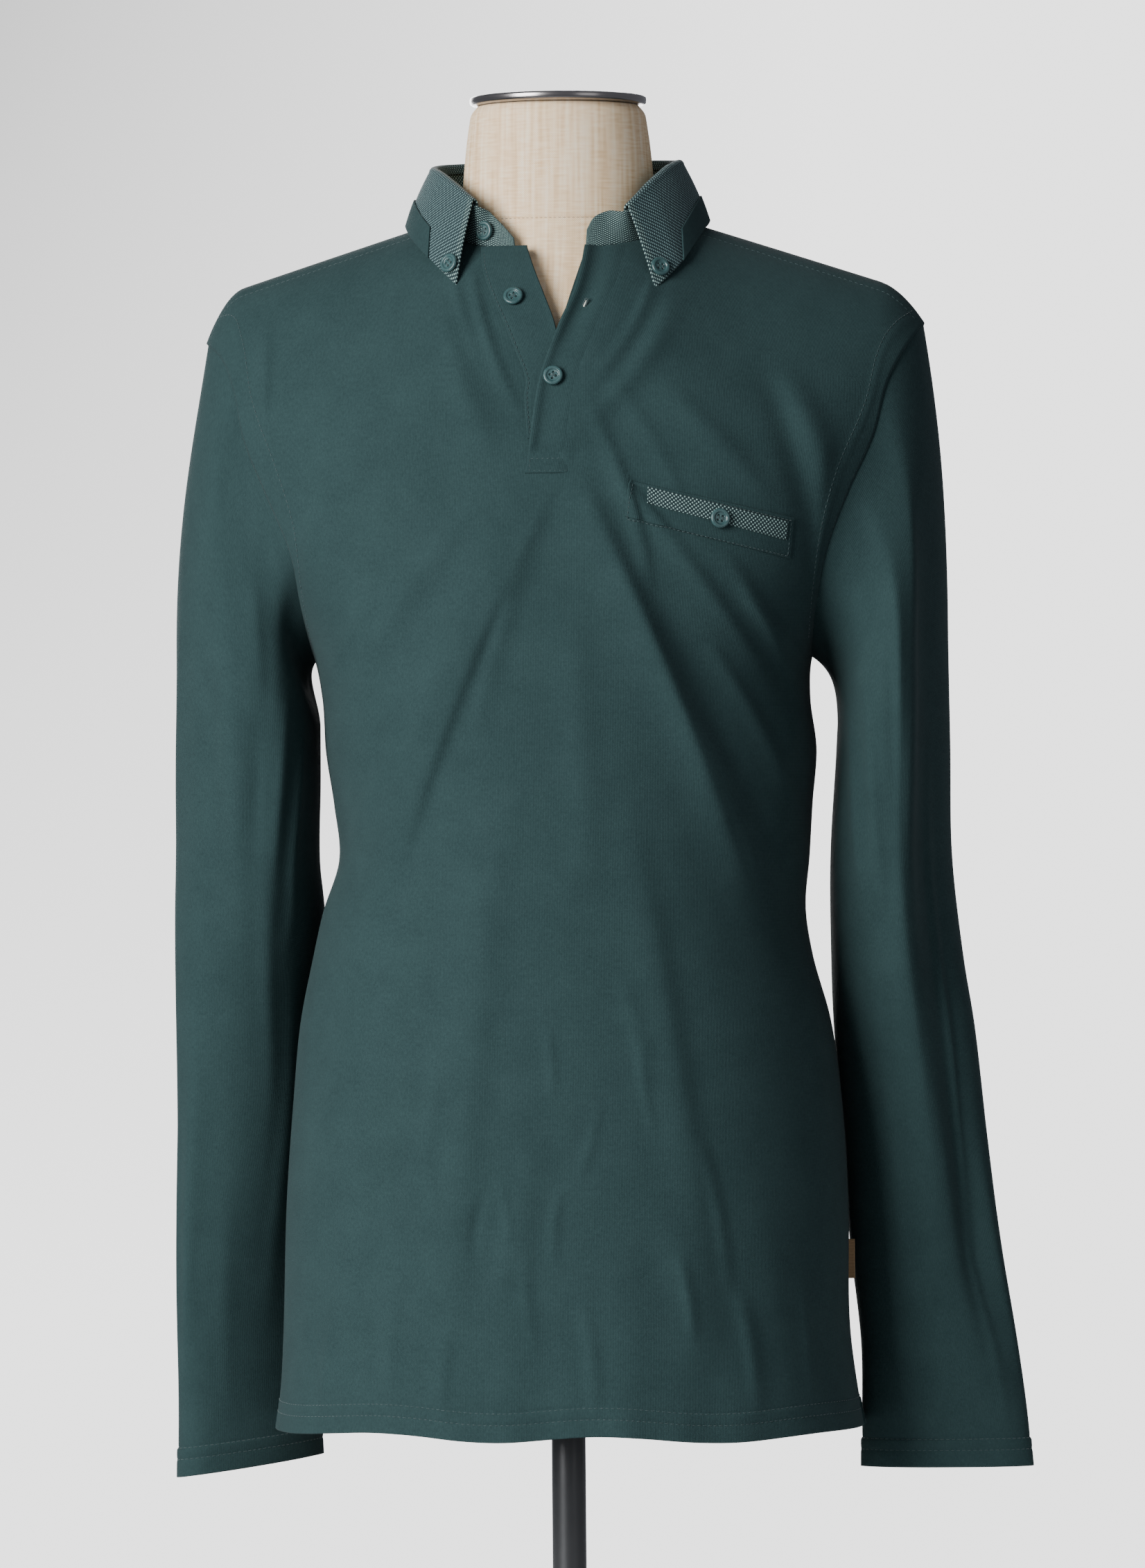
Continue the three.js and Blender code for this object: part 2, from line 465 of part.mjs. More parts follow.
// One sleeve as rings of points, armhole first. The armhole ring repeats the panels' own edge points.
function sleeveRings(name, frontPanel, backPanel) {
  const { sign } = SHOULDERS[name];
  const column = sign < 0 ? 0 : frontPanel[0].length - 1;
  const edgeOf = (panel) => panel.slice(LOW_ROWS).map((row) => row[column]).reverse();
  const front = edgeOf(frontPanel);
  const back = edgeOf(backPanel);
  // Direction in which each panel's cloth arrives at the armhole
  const arrivalOf = (panel) => panel.slice(LOW_ROWS).map((row) =>
    row[column].clone().sub(row[column + (sign < 0 ? 1 : -1)]).normalize()).reverse();
  const arrivals = [...arrivalOf(frontPanel), ...arrivalOf(backPanel).slice(1, -1).reverse()];
  const lengthShares = (line) => {
    const sums = [0];
    for (let i = 1; i < line.length; i += 1) sums.push(sums[i - 1] + line[i].distanceTo(line[i - 1]));
    return sums.map((sum) => sum / sums[sums.length - 1]);
  };
  const frontAngles = lengthShares(front).map((share) => -Math.PI * share);
  const backAngles = lengthShares(back).map((share) => Math.PI * share);
  // From the shoulder tip down the front to the underarm, and up the back to the tip again
  const armhole = [...front, ...back.slice(1, -1).reverse()];
  const angles = [...frontAngles, ...backAngles.slice(1, -1).reverse()];

  const table = SLEEVES[name];
  const at = (angle, z) => {
    const outer = read(table, 'z', 'outer', z);
    const inner = read(table, 'z', 'inner', z);
    const depth = read(table, 'z', 'depth', z);
    const lean = THREE.MathUtils.degToRad(read(table, 'z', 'lean', z));
    const turn = THREE.MathUtils.radToDeg(Math.atan2(Math.sin(angle), Math.cos(angle)));
    const lift = SLEEVE_FOLDS[name].reduce((sum, fold) => {
      const t = (fold.fromZ - z) / (fold.fromZ - fold.toZ);
      if (t <= 0 || t >= 1) return sum;
      const off = (turn - fold.angle - fold.drift * t) / fold.wide;
      return sum + fold.high * Math.sin(Math.PI * t) * Math.exp(-off * off);
    }, 0);
    const middleX = (outer + inner) / 2;
    const halfX = (outer - inner) / 2;
    const x = middleX + (halfX + lift) * Math.cos(angle);
    const y = read(table, 'z', 'middleY', z) + (depth + lift) * Math.sin(angle - lean);
    return new THREE.Vector3(sign * x, y, z);
  };
  const ringEnd = (angle) => CAP_END.z + CAP_END.slant * Math.cos(angle);

  const rings = [armhole.map((p) => p.clone())];
  for (let r = 1; r <= CAP_RINGS; r += 1) {
    rings.push(armhole.map((start, i) => {
      const angle = angles[i];
      const end = at(angle, ringEnd(angle));
      const under = Math.sin(angle / 2) ** 2;
      const hanging = new THREE.Vector3(
        sign * lerp(HANG.shoulderOut, UNDERARM_OUT[name], under),
        HANG.spread * Math.sin(angle),
        -1 + HANG.underRise * under,
      ).normalize();
      const carry = HANG.carry * Math.sin(angle) ** 2;
      const outward = hanging.addScaledVector(arrivals[i], carry).normalize();
      const reach = start.distanceTo(end) * HANG.reach;
      const first = start.clone().addScaledVector(outward, reach);
      const second = end.clone().add(new THREE.Vector3(0, 0, reach));
      const curve = new THREE.CubicBezierCurve3(start, first, second, end);
      return curve.getPoint(r / CAP_RINGS);
    }));
  }
  for (let r = 1; r <= ARM_RINGS; r += 1) {
    const share = r / ARM_RINGS;
    const level = lerp(CAP_END.z, CUFF_Z[name], share);
    rings.push(armhole.map((start, i) => {
      const slant = CAP_END.slant * Math.cos(angles[i]) * (1 - smooth(share * 2));
      const cuff = -CUFF_TILT[name] * Math.cos(angles[i]) * share ** 4;
      return at(angles[i], level + slant + cuff);
    }));
  }
  return rings;
}

// Cloth walls

// Shared normals: every piece of cloth that meets at a point has an equal part in its normal, so that the
// edges of two pieces at one seam are mitred and stay parallel
class NormalBook {
  constructor() {
    this.sums = new Map();
  }

  key(p) {
    return [p.x, p.y, p.z].map((value) => Math.round(value * 50)).join(',');
  }

  addGrid(rows, closed) {
    const own = new Map();
    const columns = rows[0].length;
    const lastColumn = closed ? columns : columns - 1;
    for (let r = 0; r < rows.length - 1; r += 1) {
      for (let c = 0; c < lastColumn; c += 1) {
        const next = (c + 1) % columns;
        const corners = [rows[r][c], rows[r][next], rows[r + 1][next], rows[r + 1][c]];
        const across = corners[2].clone().sub(corners[0]);
        const normal = across.cross(corners[3].clone().sub(corners[1]));
        corners.forEach((p) => {
          const key = this.key(p);
          const sum = own.get(key) || new THREE.Vector3();
          own.set(key, sum.add(normal));
        });
      }
    }
    own.forEach((normal, key) => {
      const sum = this.sums.get(key) || new THREE.Vector3();
      this.sums.set(key, sum.add(normal.normalize()));
    });
  }

  at(p) {
    return this.sums.get(this.key(p)).clone().normalize();
  }
}

// A closed wall from an outer and an inner grid of points. Faces run (r, c), (r, c + 1), (r + 1, c + 1).
function wallGeometry(outer, inner, closed) {
  const rows = outer.length;
  const columns = outer[0].length;
  const positions = [];
  [outer, inner].forEach((grid) => grid.forEach((row) => row.forEach((p) => positions.push(p.x, p.y, p.z))));
  const index = [];
  const id = (layer, r, c) => (layer * rows + r) * columns + (c % columns);
  const quad = (a, b, c, d) => index.push(a, b, c, a, c, d);
  const lastColumn = closed ? columns : columns - 1;
  for (let r = 0; r < rows - 1; r += 1) {
    for (let c = 0; c < lastColumn; c += 1) {
      quad(id(0, r, c), id(0, r, c + 1), id(0, r + 1, c + 1), id(0, r + 1, c));
      quad(id(1, r, c), id(1, r + 1, c), id(1, r + 1, c + 1), id(1, r, c + 1));
    }
  }
  for (let c = 0; c < lastColumn; c += 1) {
    quad(id(1, 0, c), id(1, 0, c + 1), id(0, 0, c + 1), id(0, 0, c));
    quad(id(0, rows - 1, c), id(0, rows - 1, c + 1), id(1, rows - 1, c + 1), id(1, rows - 1, c));
  }
  if (!closed) {
    for (let r = 0; r < rows - 1; r += 1) {
      quad(id(0, r, 0), id(0, r + 1, 0), id(1, r + 1, 0), id(1, r, 0));
      quad(id(1, r, columns - 1), id(1, r + 1, columns - 1), id(0, r + 1, columns - 1),
        id(0, r, columns - 1));
    }
  }
  const geometry = new THREE.BufferGeometry();
  geometry.setAttribute('position', new THREE.Float32BufferAttribute(positions, 3));
  geometry.setIndex(index);
  geometry.computeVertexNormals();
  return geometry;
}

// Outer and inner points of a wall of cloth, with its edges drawn back from the seams
function clothWall(rows, book, { closed = false, openEnd = false, firstGap = () => SEAM_HALF_GAP }) {
  const outer = rows.map((row) => row.map((p) => p.clone()));
  const inner = rows.map((row) => row.map((p) => p.clone().addScaledVector(book.at(p), -CLOTH)));
  [outer, inner].forEach((grid) => {
    const last = grid.length - 1;
    const pull = (p, towards, gap = SEAM_HALF_GAP) => p.add(towards.clone().sub(p).setLength(gap));
    const columns = grid[0].length;
    for (let c = 0; c < columns; c += 1) {
      pull(grid[0][c], grid[1][c], firstGap(c / columns));
      if (!openEnd) pull(grid[last][c], grid[last - 1][c]);
    }
    if (!closed) {
      // Along the armhole the cloth draws back downwards as well as sideways
      [...grid].reverse().forEach((row, i) => {
        const r = last - i;
        const from = grid[r >= LOW_ROWS ? r - 1 : r];
        pull(row[0], from[1]);
        pull(row[columns - 1], from[columns - 2]);
      });
    }
  });
  return { outer, inner, geometry: wallGeometry(outer, inner, closed) };
}

// A plate between two grids made by moving one grid along its normals, for strips, leaf and stand
function plate(rows, thick, book) {
  const inner = rows;
  const outer = rows.map((row) => row.map((p) => p.clone().addScaledVector(book.at(p), thick)));
  return { inner, outer, geometry: wallGeometry(outer, inner, false) };
}

function gridNormals(rows) {
  const book = new NormalBook();
  book.addGrid(rows, false);
  return book;
}

// Pieces

const shirt = new THREE.Group();

function addPiece(name, geometry, surface) {
  const mesh = new THREE.Mesh(geometry, surface);
  mesh.name = name;
  shirt.add(mesh);
  return mesh;
}

const frontRows = bodyPanel(-1, FRONT_HIGH_ROWS, FRONT_FOLDS);
const backRows = bodyPanel(1, BACK_HIGH_ROWS, BACK_FOLDS).map((row) => [...row].reverse());
const unreversedBack = backRows.map((row) => [...row].reverse());
const sleeveRows = {
  left: sleeveRings('left', frontRows, unreversedBack),
  right: sleeveRings('right', frontRows, unreversedBack),
};
// Rings run so that their faces point outwards on both sides
sleeveRows.left = sleeveRows.left.map((ring) => [ring[0], ...ring.slice(1).reverse()]);

const clothNormals = new NormalBook();
clothNormals.addGrid(frontRows, false);
clothNormals.addGrid(backRows, false);
clothNormals.addGrid(sleeveRows.left, true);
clothNormals.addGrid(sleeveRows.right, true);

const front = clothWall(frontRows, clothNormals, {});
const back = clothWall(backRows, clothNormals, {});
addPiece('front', front.geometry, JERSEY);
addPiece('back', back.geometry, JERSEY);
// Gap at a share of the way round the armhole, where 0 is the shoulder tip and the underarm is about 0.5
const sleeveGap = (share) =>
  lerp(SEAM_HALF_GAP, UNDERARM_GAP, Math.sin(Math.PI * share) ** 6);
['left', 'right'].forEach((name) => {
  const wall = clothWall(sleeveRows[name], clothNormals, {
    closed: true, openEnd: true, firstGap: sleeveGap,
  });
  addPiece(`sleeve_${name}`, wall.geometry, JERSEY);
});

// A point on the front's outer faces as seen from the front at (x, z), moved out by an offset
function onFront(x, z, offset) {
  const grid = front.outer;
  for (let r = LOW_ROWS; r < grid.length - 1; r += 1) {
    for (let c = 0; c < grid[0].length - 1; c += 1) {
      const [a, b, d, e] = [grid[r][c], grid[r][c + 1], grid[r + 1][c + 1], grid[r + 1][c]];
      const hit = heightOn(a, b, d, x, z) || heightOn(a, d, e, x, z);
      if (hit) return hit.point.addScaledVector(hit.normal, offset);
    }
  }
  // Above the cloth's edge the strips continue on the smooth form
  return new THREE.Vector3(x, bodyDepth(-1, x, z) - offset, z);
}

function heightOn(a, b, c, x, z) {
  const area = (b.x - a.x) * (c.z - a.z) - (c.x - a.x) * (b.z - a.z);
  if (Math.abs(area) < 1e-9) return null;
  const wb = ((x - a.x) * (c.z - a.z) - (c.x - a.x) * (z - a.z)) / area;
  const wc = ((b.x - a.x) * (z - a.z) - (x - a.x) * (b.z - a.z)) / area;
  const slack = 1e-6;
  if (wb < -slack || wc < -slack || wb + wc > 1 + slack) return null;
  const point = new THREE.Vector3(x, a.y + wb * (b.y - a.y) + wc * (c.y - a.y), z);
  const normal = b.clone().sub(a).cross(c.clone().sub(a)).normalize();
  return { point, normal };
}

// The collar stand, from the left front end round the back to the right front end

const STAND_FLARE = 1.03;     // its front ends spread a little upwards
const STAND_LEAN = 0.12;      // and lean back
const STAND_LIFT = 0.35;      // the stand's lower edge clears the neckline by this much
function neckPoint(side, x, facing) {
  const z = facing < 0 ? frontNeckHeight(x) : backNeckHeight(x);
  return new THREE.Vector3(side.sign * x, bodyDepth(facing, side.sign * x, z), z + STAND_LIFT);
}

// The neckline under each collar station, by distance to the side and facing
const STAND_FOOT = [
  { x: 45, facing: -1 }, { x: 54, facing: -1 }, { x: 61, facing: -1 }, { x: 66.5, facing: -1 },
  { x: 67.6, facing: 1 }, { x: 62, facing: 1 }, { x: 45, facing: 1 }, { x: 24, facing: 1 },
  { x: 0, facing: 1 },
];
const STAND_IN = 2.6;         // the stand's upper edge lies this far inside the fold of the leaf
const STAND_BELOW_FOLD = 1.0;

function towardsNeck(p, distance) {
  const flat = new THREE.Vector3(p.x, p.y, 0).setLength(distance);
  return p.clone().sub(flat);
}

function standHalf(name) {
  const side = SHOULDERS[name];
  const ends = STAND_ENDS[name].map(({ x, top }) => {
    const foot = neckPoint(side, x, -1);
    return { foot, top: new THREE.Vector3(foot.x * STAND_FLARE, foot.y + (top - foot.z) * STAND_LEAN, top) };
  });
  const along = COLLAR[name].map((station, i) => {
    const foot = neckPoint(side, STAND_FOOT[i].x, STAND_FOOT[i].facing);
    const fold = new THREE.Vector3(side.sign * station.foldX, station.foldY, station.foldZ);
    const top = towardsNeck(fold, STAND_IN);
    top.z -= STAND_BELOW_FOLD;
    return { foot, top };
  });
  return [...ends, ...along];
}

const standStations = [...standHalf('left'), ...standHalf('right').slice(0, -1).reverse()];
const standRows = [0, 0.33, 0.67, 1].map((share) =>
  standStations.map(({ foot, top }) => foot.clone().lerp(top, share)));
// Seen from outside the stations run right to left at the back, so the rows are turned to face out
const standOut = standRows.map((row) => [...row].reverse());
const standPlate = plate(standOut, -COLLAR_THICK, gridNormals(standOut));
const standWall = wallGeometry(standPlate.inner, standPlate.outer, false);
addPiece('collar_stand', standWall, DOTTED);

// The leaf: folded over the stand's top and falling to its outer edge
const LEAF_ROWS = [
  { drop: 0, out: -2.6, rise: 0.0 }, { drop: 0, out: -0.6, rise: 1.3 }, { drop: 0.04, out: 0.9, rise: 0.2 },
];
const LEAF_FALL = [0.2, 0.4, 0.6, 0.8, 1];
const LEAF_BELLY = 2.2;       // the leaf bows outwards by this much half way down

function leafStation(name, station) {
  const side = SHOULDERS[name];
  const list = COLLAR[name];
  const get = (column) => readStation(list, column, station);
  const fold = new THREE.Vector3(side.sign * get('foldX'), get('foldY'), get('foldZ'));
  const edge = new THREE.Vector3(side.sign * get('edgeX'), get('edgeY'), get('edgeZ'));
  return { fold, edge };
}

function leafColumn({ fold, edge }) {
  const flat = new THREE.Vector3(fold.x, fold.y, 0).normalize();
  const top = LEAF_ROWS.map(({ drop, out, rise }) => {
    const p = fold.clone().lerp(edge, drop).addScaledVector(flat, out);
    p.z += rise;
    return p;
  });
  const start = top[top.length - 1];
  const fall = LEAF_FALL.map((share) => start.clone().lerp(edge, share)
    .addScaledVector(flat, LEAF_BELLY * Math.sin(Math.PI * share) * 0.5));
  return [...top, ...fall];
}

const HALF_STATIONS = [0, 0.5, 1, 1.5, 2, 2.55, 3, 3.5, 4, 4.5, 5, 5.5, 6, 7, 8];
const leafStations = [
  ...HALF_STATIONS.map((s) => leafStation('left', s)),
  ...HALF_STATIONS.slice(0, -1).reverse().map((s) => leafStation('right', s)),
];
const leafColumns = leafStations.map(leafColumn);
const leafRows = leafColumns[0].map((_, r) => leafColumns.map((column) => column[r]));
const leafPlate = plate(leafRows, COLLAR_THICK, gridNormals(leafRows));
addPiece('collar_leaf', leafPlate.geometry, DOTTED);

// The plain band lies on the leaf along its outer edge and ends in a slant before each point
const bandColumnsFrom = HALF_STATIONS.indexOf(BAND_FIRST);
const bandLast = leafStations.length - 1 - bandColumnsFrom;
function bandGrid(lift) {
  const grid = [];
  const book = gridNormals(leafRows);
  const steps = [0, 0.34, 0.67, 1];
  steps.forEach((step) => {
    const row = [];
    for (let c = bandColumnsFrom; c <= bandLast; c += 1) {
      const fromStart = c - bandColumnsFrom;
      const fromEnd = bandLast - c;
      const slantHere = Math.min(fromStart, fromEnd) === 0 ? BAND_SLANT * (1 - step) : 0;
      const towards = fromStart === 0 ? c + 1 : c - 1;
      const column = leafPlate.outer.map((line) => line[c]);
      const other = leafPlate.outer.map((line) => line[slantHere > 0 ? towards : c]);
      const lengthDown = column[2].distanceTo(column[column.length - 1]);
      const share = 1 - (BAND_WIDE / lengthDown) * (1 - step);
      const place = 2 + share * (column.length - 3);
      const low = Math.min(column.length - 2, Math.floor(place));
      const along = (line) => line[low].clone().lerp(line[low + 1], place - low);
      const p = along(column).lerp(along(other), slantHere);
      const normal = book.at(leafRows[low][c]);
      row.push(p.addScaledVector(normal, lift));
    }
    grid.push(row);
  });
  return grid;
}
const bandWall = wallGeometry(bandGrid(LAYER_GAP + BAND_THICK), bandGrid(LAYER_GAP), false);
addPiece('collar_edge_band', bandWall, JERSEY);

// Front opening

function stripRows(edge, widthTo, offsets) {
  return edge.map(({ x, z }) => offsets.map(({ share, lift }) =>
    onFront(x + widthTo * share, z, lift)));
}
const stripPlate = (rows, thick) => plate(rows, thick, gridNormals(rows));

const underOffsets = [1, 0.75, 0.5, 0.25, 0].map((share) => ({ share, lift: PLACKET_LIFT }));
const underRows = stripRows([...PLACKET_UNDER_EDGE].reverse(), -PLACKET_WIDE, underOffsets);
const under = stripPlate(underRows, PLACKET_THICK);
addPiece('placket_under', under.geometry, JERSEY);

const PLACKET_AIR = 1.1;      // extra air, as the over strip bridges the hollow of the opening
const OVER_LIFT = PLACKET_LIFT + PLACKET_THICK + LAYER_GAP + PLACKET_AIR;
const overOffsets = [0, 0.25, 0.5, 0.8, 1].map((share) => ({
  share, lift: OVER_LIFT,
}));
overOffsets[4].lift = OVER_LIFT * 0.6;
const overRows = stripRows([...PLACKET_OVER_EDGE].reverse(), PLACKET_WIDE, overOffsets);
const over = stripPlate(overRows, PLACKET_THICK);
addPiece('placket_over', over.geometry, JERSEY);

// Chest pocket

function quadRows(corners, rowCount, columnCount, lift) {
  const rows = [];
  for (let r = 0; r <= rowCount; r += 1) {
    const up = r / rowCount;
    const row = [];
    for (let c = 0; c <= columnCount; c += 1) {
      const share = c / columnCount;
      const low = lerp(corners.bottomLeft.x, corners.bottomRight.x, share);
      const high = lerp(corners.topLeft.x, corners.topRight.x, share);
      const lowZ = lerp(corners.bottomLeft.z, corners.bottomRight.z, share);
      const highZ = lerp(corners.topLeft.z, corners.topRight.z, share);
      row.push(onFront(lerp(low, high, up), lerp(lowZ, highZ, up), lift));
    }
    rows.push(row);
  }
  return rows;
}
const welt = stripPlate(quadRows(WELT, 3, 14, LAYER_GAP), WELT_THICK);
addPiece('pocket_welt', welt.geometry, JERSEY);
const stripLift = LAYER_GAP * 2 + WELT_THICK;
const strip = stripPlate(quadRows(STRIP, 2, 14, stripLift), STRIP_THICK);
addPiece('pocket_strip', strip.geometry, DOTTED);

// Buttons

// Points of a circle, counter-clockwise
const circle = (x, y, r, sides) => Array.from({ length: sides }, (_, i) => {
  const turn = (2 * Math.PI * i) / sides;
  return new THREE.Vector2(x + r * Math.cos(turn), y + r * Math.sin(turn));
});

function buttonGeometry() {
  const disc = new THREE.Shape(circle(0, 0, BUTTON_R, BUTTON_SIDES));
  [-1, 1].forEach((right) => [-1, 1].forEach((up) => {
    const hole = circle(right * BUTTON_HOLE_OFF, up * BUTTON_HOLE_OFF, BUTTON_HOLE_R, BUTTON_HOLE_SIDES);
    disc.holes.push(new THREE.Path(hole.reverse()));
  }));
  return new THREE.ExtrudeGeometry(disc, { depth: BUTTON_THICK, bevelEnabled: false });
}

// A button whose back lies at a point, facing along a direction, turned about it by an angle
function addButton(name, point, facing, turn) {
  const mesh = addPiece(name, buttonGeometry(), BUTTON);
  mesh.position.copy(point);
  mesh.quaternion.setFromUnitVectors(new THREE.Vector3(0, 0, 1), facing.clone().normalize());
  mesh.rotateZ(turn);
}

function frontNormal(x, z) {
  const step = 4;
  const across = onFront(x + step, z, 0).sub(onFront(x - step, z, 0));
  const up = onFront(x, z + step, 0).sub(onFront(x, z - step, 0));
  return across.cross(up).normalize();
}

const BUTTON_CLEAR = 0.3;
const faceOf = (x, z, lift) => onFront(x, z, 0).addScaledVector(frontNormal(x, z), lift);
addButton('button_placket_1', faceOf(-20.2, 809, PLACKET_LIFT + PLACKET_THICK + BUTTON_CLEAR),
  frontNormal(-20.2, 809), 0.2);
addButton('button_placket_2', faceOf(3.6, 762.4, OVER_LIFT + PLACKET_THICK + BUTTON_CLEAR),
  frontNormal(3.6, 762.4), 0.6);
addButton('button_pocket', faceOf(98, 680.7, stripLift + STRIP_THICK + BUTTON_CLEAR),
  frontNormal(98, 680.7), 0.1);

// Buttons on the two collar points and on the left end of the stand
const LEAF_BUTTON = { station: 0.62 };
['left', 'right'].forEach((name) => {
  const columnA = leafColumn(leafStation(name, LEAF_BUTTON.station - 0.3));
  const columnB = leafColumn(leafStation(name, LEAF_BUTTON.station + 0.3));
  const last = columnA.length - 1;
  const middle = (line) => line[last - 1].clone().lerp(line[last - 2], 0.25);
  const point = middle(columnA).lerp(middle(columnB), 0.5);
  const across = middle(columnB).sub(middle(columnA));
  const down = columnA[last].clone().sub(columnA[last - 3]);
  const facing = across.cross(down).normalize();
  if (facing.y > 0) facing.negate();
  point.addScaledVector(facing, COLLAR_THICK + BUTTON_CLEAR + 0.3);
  addButton(`button_collar_${name}`, point, facing, 0.3);
});

// The left end of the stand carries a button a little before the leaf's corner
const STAND_BUTTON = { end: 2, across: 0.35, up: 0.42, clear: 1.8 };
const [beside, beyond] = [standStations[STAND_BUTTON.end], standStations[STAND_BUTTON.end + 1]];
const standFoot = beside.foot.clone().lerp(beyond.foot, STAND_BUTTON.across);
const standTop = beside.top.clone().lerp(beyond.top, STAND_BUTTON.across);
const standFacing = beyond.foot.clone().sub(beside.foot).cross(standTop.clone().sub(standFoot)).normalize();
if (standFacing.y > 0) standFacing.negate();
addButton('button_stand',
  standFoot.lerp(standTop, STAND_BUTTON.up).addScaledVector(standFacing, STAND_BUTTON.clear),
  standFacing, 0.4);

// Side label: a bare tab on the right side seam
const labelZ = (LABEL.topZ + LABEL.bottomZ) / 2;
const labelSeam = read(BODY, 'z', 'right', labelZ);
const labelMesh = addPiece('side_label',
  new THREE.BoxGeometry(LABEL.out, LABEL.thick, LABEL.topZ - LABEL.bottomZ), TAN);
labelMesh.position.set(labelSeam + 0.5 + LABEL.out / 2, 0, labelZ);

// Dress form: horizontal sections of a torso joined with a neck

function formSection(z) {
  const half = read(FORM, 'z', 'half', z);
  const giveWay = NECK_GIVE_WAY * smooth((z - NECK_START_Z + 8) / 18);
  const ridge = (x) => ridgeHeight(x) - FORM_DROP;
  // The farthest x at which the shoulder line is still above this level
  const reachOn = (sign) => {
    let low = 0;
    let high = half;
    if (ridge(sign * high) > z) return half;
    for (let i = 0; i < 40; i += 1) {
      const x = (low + high) / 2;
      if (ridge(sign * x) > z) low = x;
      else high = x;
    }
    return Math.max(0, low - giveWay);
  };
  const neck = (column) => (z < NECK_START_Z ? 0 : read(NECK, 'z', column, z));
  const depthAt = (facing, x) => {
    const column = facing < 0 ? 'front' : 'back';
    const depth = read(FORM, 'z', column, z) * roundedSection(x / half, FORM_SQUARE);
    const torso = depth * filled(facing, x, ridge(x) - z);
    const neckHalf = neck('half');
    const share = neckHalf > 0 ? Math.min(1, Math.abs(x) / neckHalf) : 1;
    const throat = neckHalf > 0 ? neck(column) * Math.sqrt(1 - share * share) : 0;
    return (torso ** 10 + throat ** 10) ** 0.1;
  };
  const points = [];
  for (let i = 0; i < FORM_SIDES; i += 1) {
    const angle = (2 * Math.PI * i) / FORM_SIDES;
    const sign = Math.cos(angle) < 0 ? -1 : 1;
    const reach = Math.max(reachOn(sign), neck('half'));
    const x = reach * Math.cos(angle);
    const facing = Math.sin(angle) < 0 ? -1 : 1;
    const flat = Math.abs(Math.sin(angle)) < 1e-6;
    const y = flat ? RIDGE_Y * 0.3 : facing * depthAt(facing, x);
    points.push(new THREE.Vector3(x, y, z));
  }
  return points;
}

// A closed solid from rings of points, with flat ends
function ringSolid(rings) {
  const positions = [];
  rings.forEach((ring) => ring.forEach((p) => positions.push(p.x, p.y, p.z)));
  const sides = rings[0].length;
  const centre = (ring) => ring.reduce((sum, p) => sum.add(p), new THREE.Vector3()).divideScalar(sides);
  [rings[0], rings[rings.length - 1]].forEach((ring) => {
    const middle = centre(ring);
    positions.push(middle.x, middle.y, middle.z);
  });
  const bottom = rings.length * sides;
  const index = [];
  for (let r = 0; r < rings.length - 1; r += 1) {
    for (let i = 0; i < sides; i += 1) {
      const next = (i + 1) % sides;
      const [a, b] = [r * sides + i, r * sides + next];
      index.push(a, b, b + sides, a, b + sides, a + sides);
    }
  }
  for (let i = 0; i < sides; i += 1) {
    const next = (i + 1) % sides;
    index.push(bottom, next, i);
    index.push(bottom + 1, (rings.length - 1) * sides + i, (rings.length - 1) * sides + next);
  }
  const geometry = new THREE.BufferGeometry();
  geometry.setAttribute('position', new THREE.Float32BufferAttribute(positions, 3));
  geometry.setIndex(index);
  geometry.computeVertexNormals();
  return geometry;
}
addPiece('dress_form', ringSolid(FORM_LEVELS.map(formSection)), LINEN);

// Metal cap, pole and base, turned about the vertical axis
function turned(profile, sides) {
  const points = profile.map(({ r, z }) => new THREE.Vector2(r, z));
  const geometry = new THREE.LatheGeometry(points, sides);
  geometry.rotateX(Math.PI / 2);
  return geometry;
}
addPiece('neck_cap', turned([
  { r: 0, z: CAP_Z },
  { r: CAP_R - 2.5, z: CAP_Z },
  { r: CAP_R, z: CAP_Z + 1.5 },
  { r: CAP_R, z: CAP_Z + 3.5 },
  { r: CAP_R - 3, z: CAP_Z + CAP_HIGH - 1 },
  { r: CAP_R - 12, z: CAP_Z + CAP_HIGH },
  { r: 0, z: CAP_Z + CAP_HIGH },
], 40), CAP_METAL);
addPiece('pole', turned([
  { r: 0, z: BASE_HIGH + 0.3 },
  { r: POLE_R, z: BASE_HIGH + 0.3 },
  { r: POLE_R, z: FORM_BOTTOM_Z - 0.3 },
  { r: 0, z: FORM_BOTTOM_Z - 0.3 },
], 28), POLE_METAL);
addPiece('base', turned([
  { r: 0, z: 0 },
  { r: BASE_R, z: 0 },
  { r: BASE_R, z: 3.5 },
  { r: BASE_R - 5, z: 6.5 },
  { r: 24, z: BASE_HIGH - 2 },
  { r: 18, z: BASE_HIGH },
  { r: 0, z: BASE_HIGH },
], 48), POLE_METAL);

export default shirt;
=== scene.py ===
import bpy
import numpy as np
from mathutils import Matrix, Vector


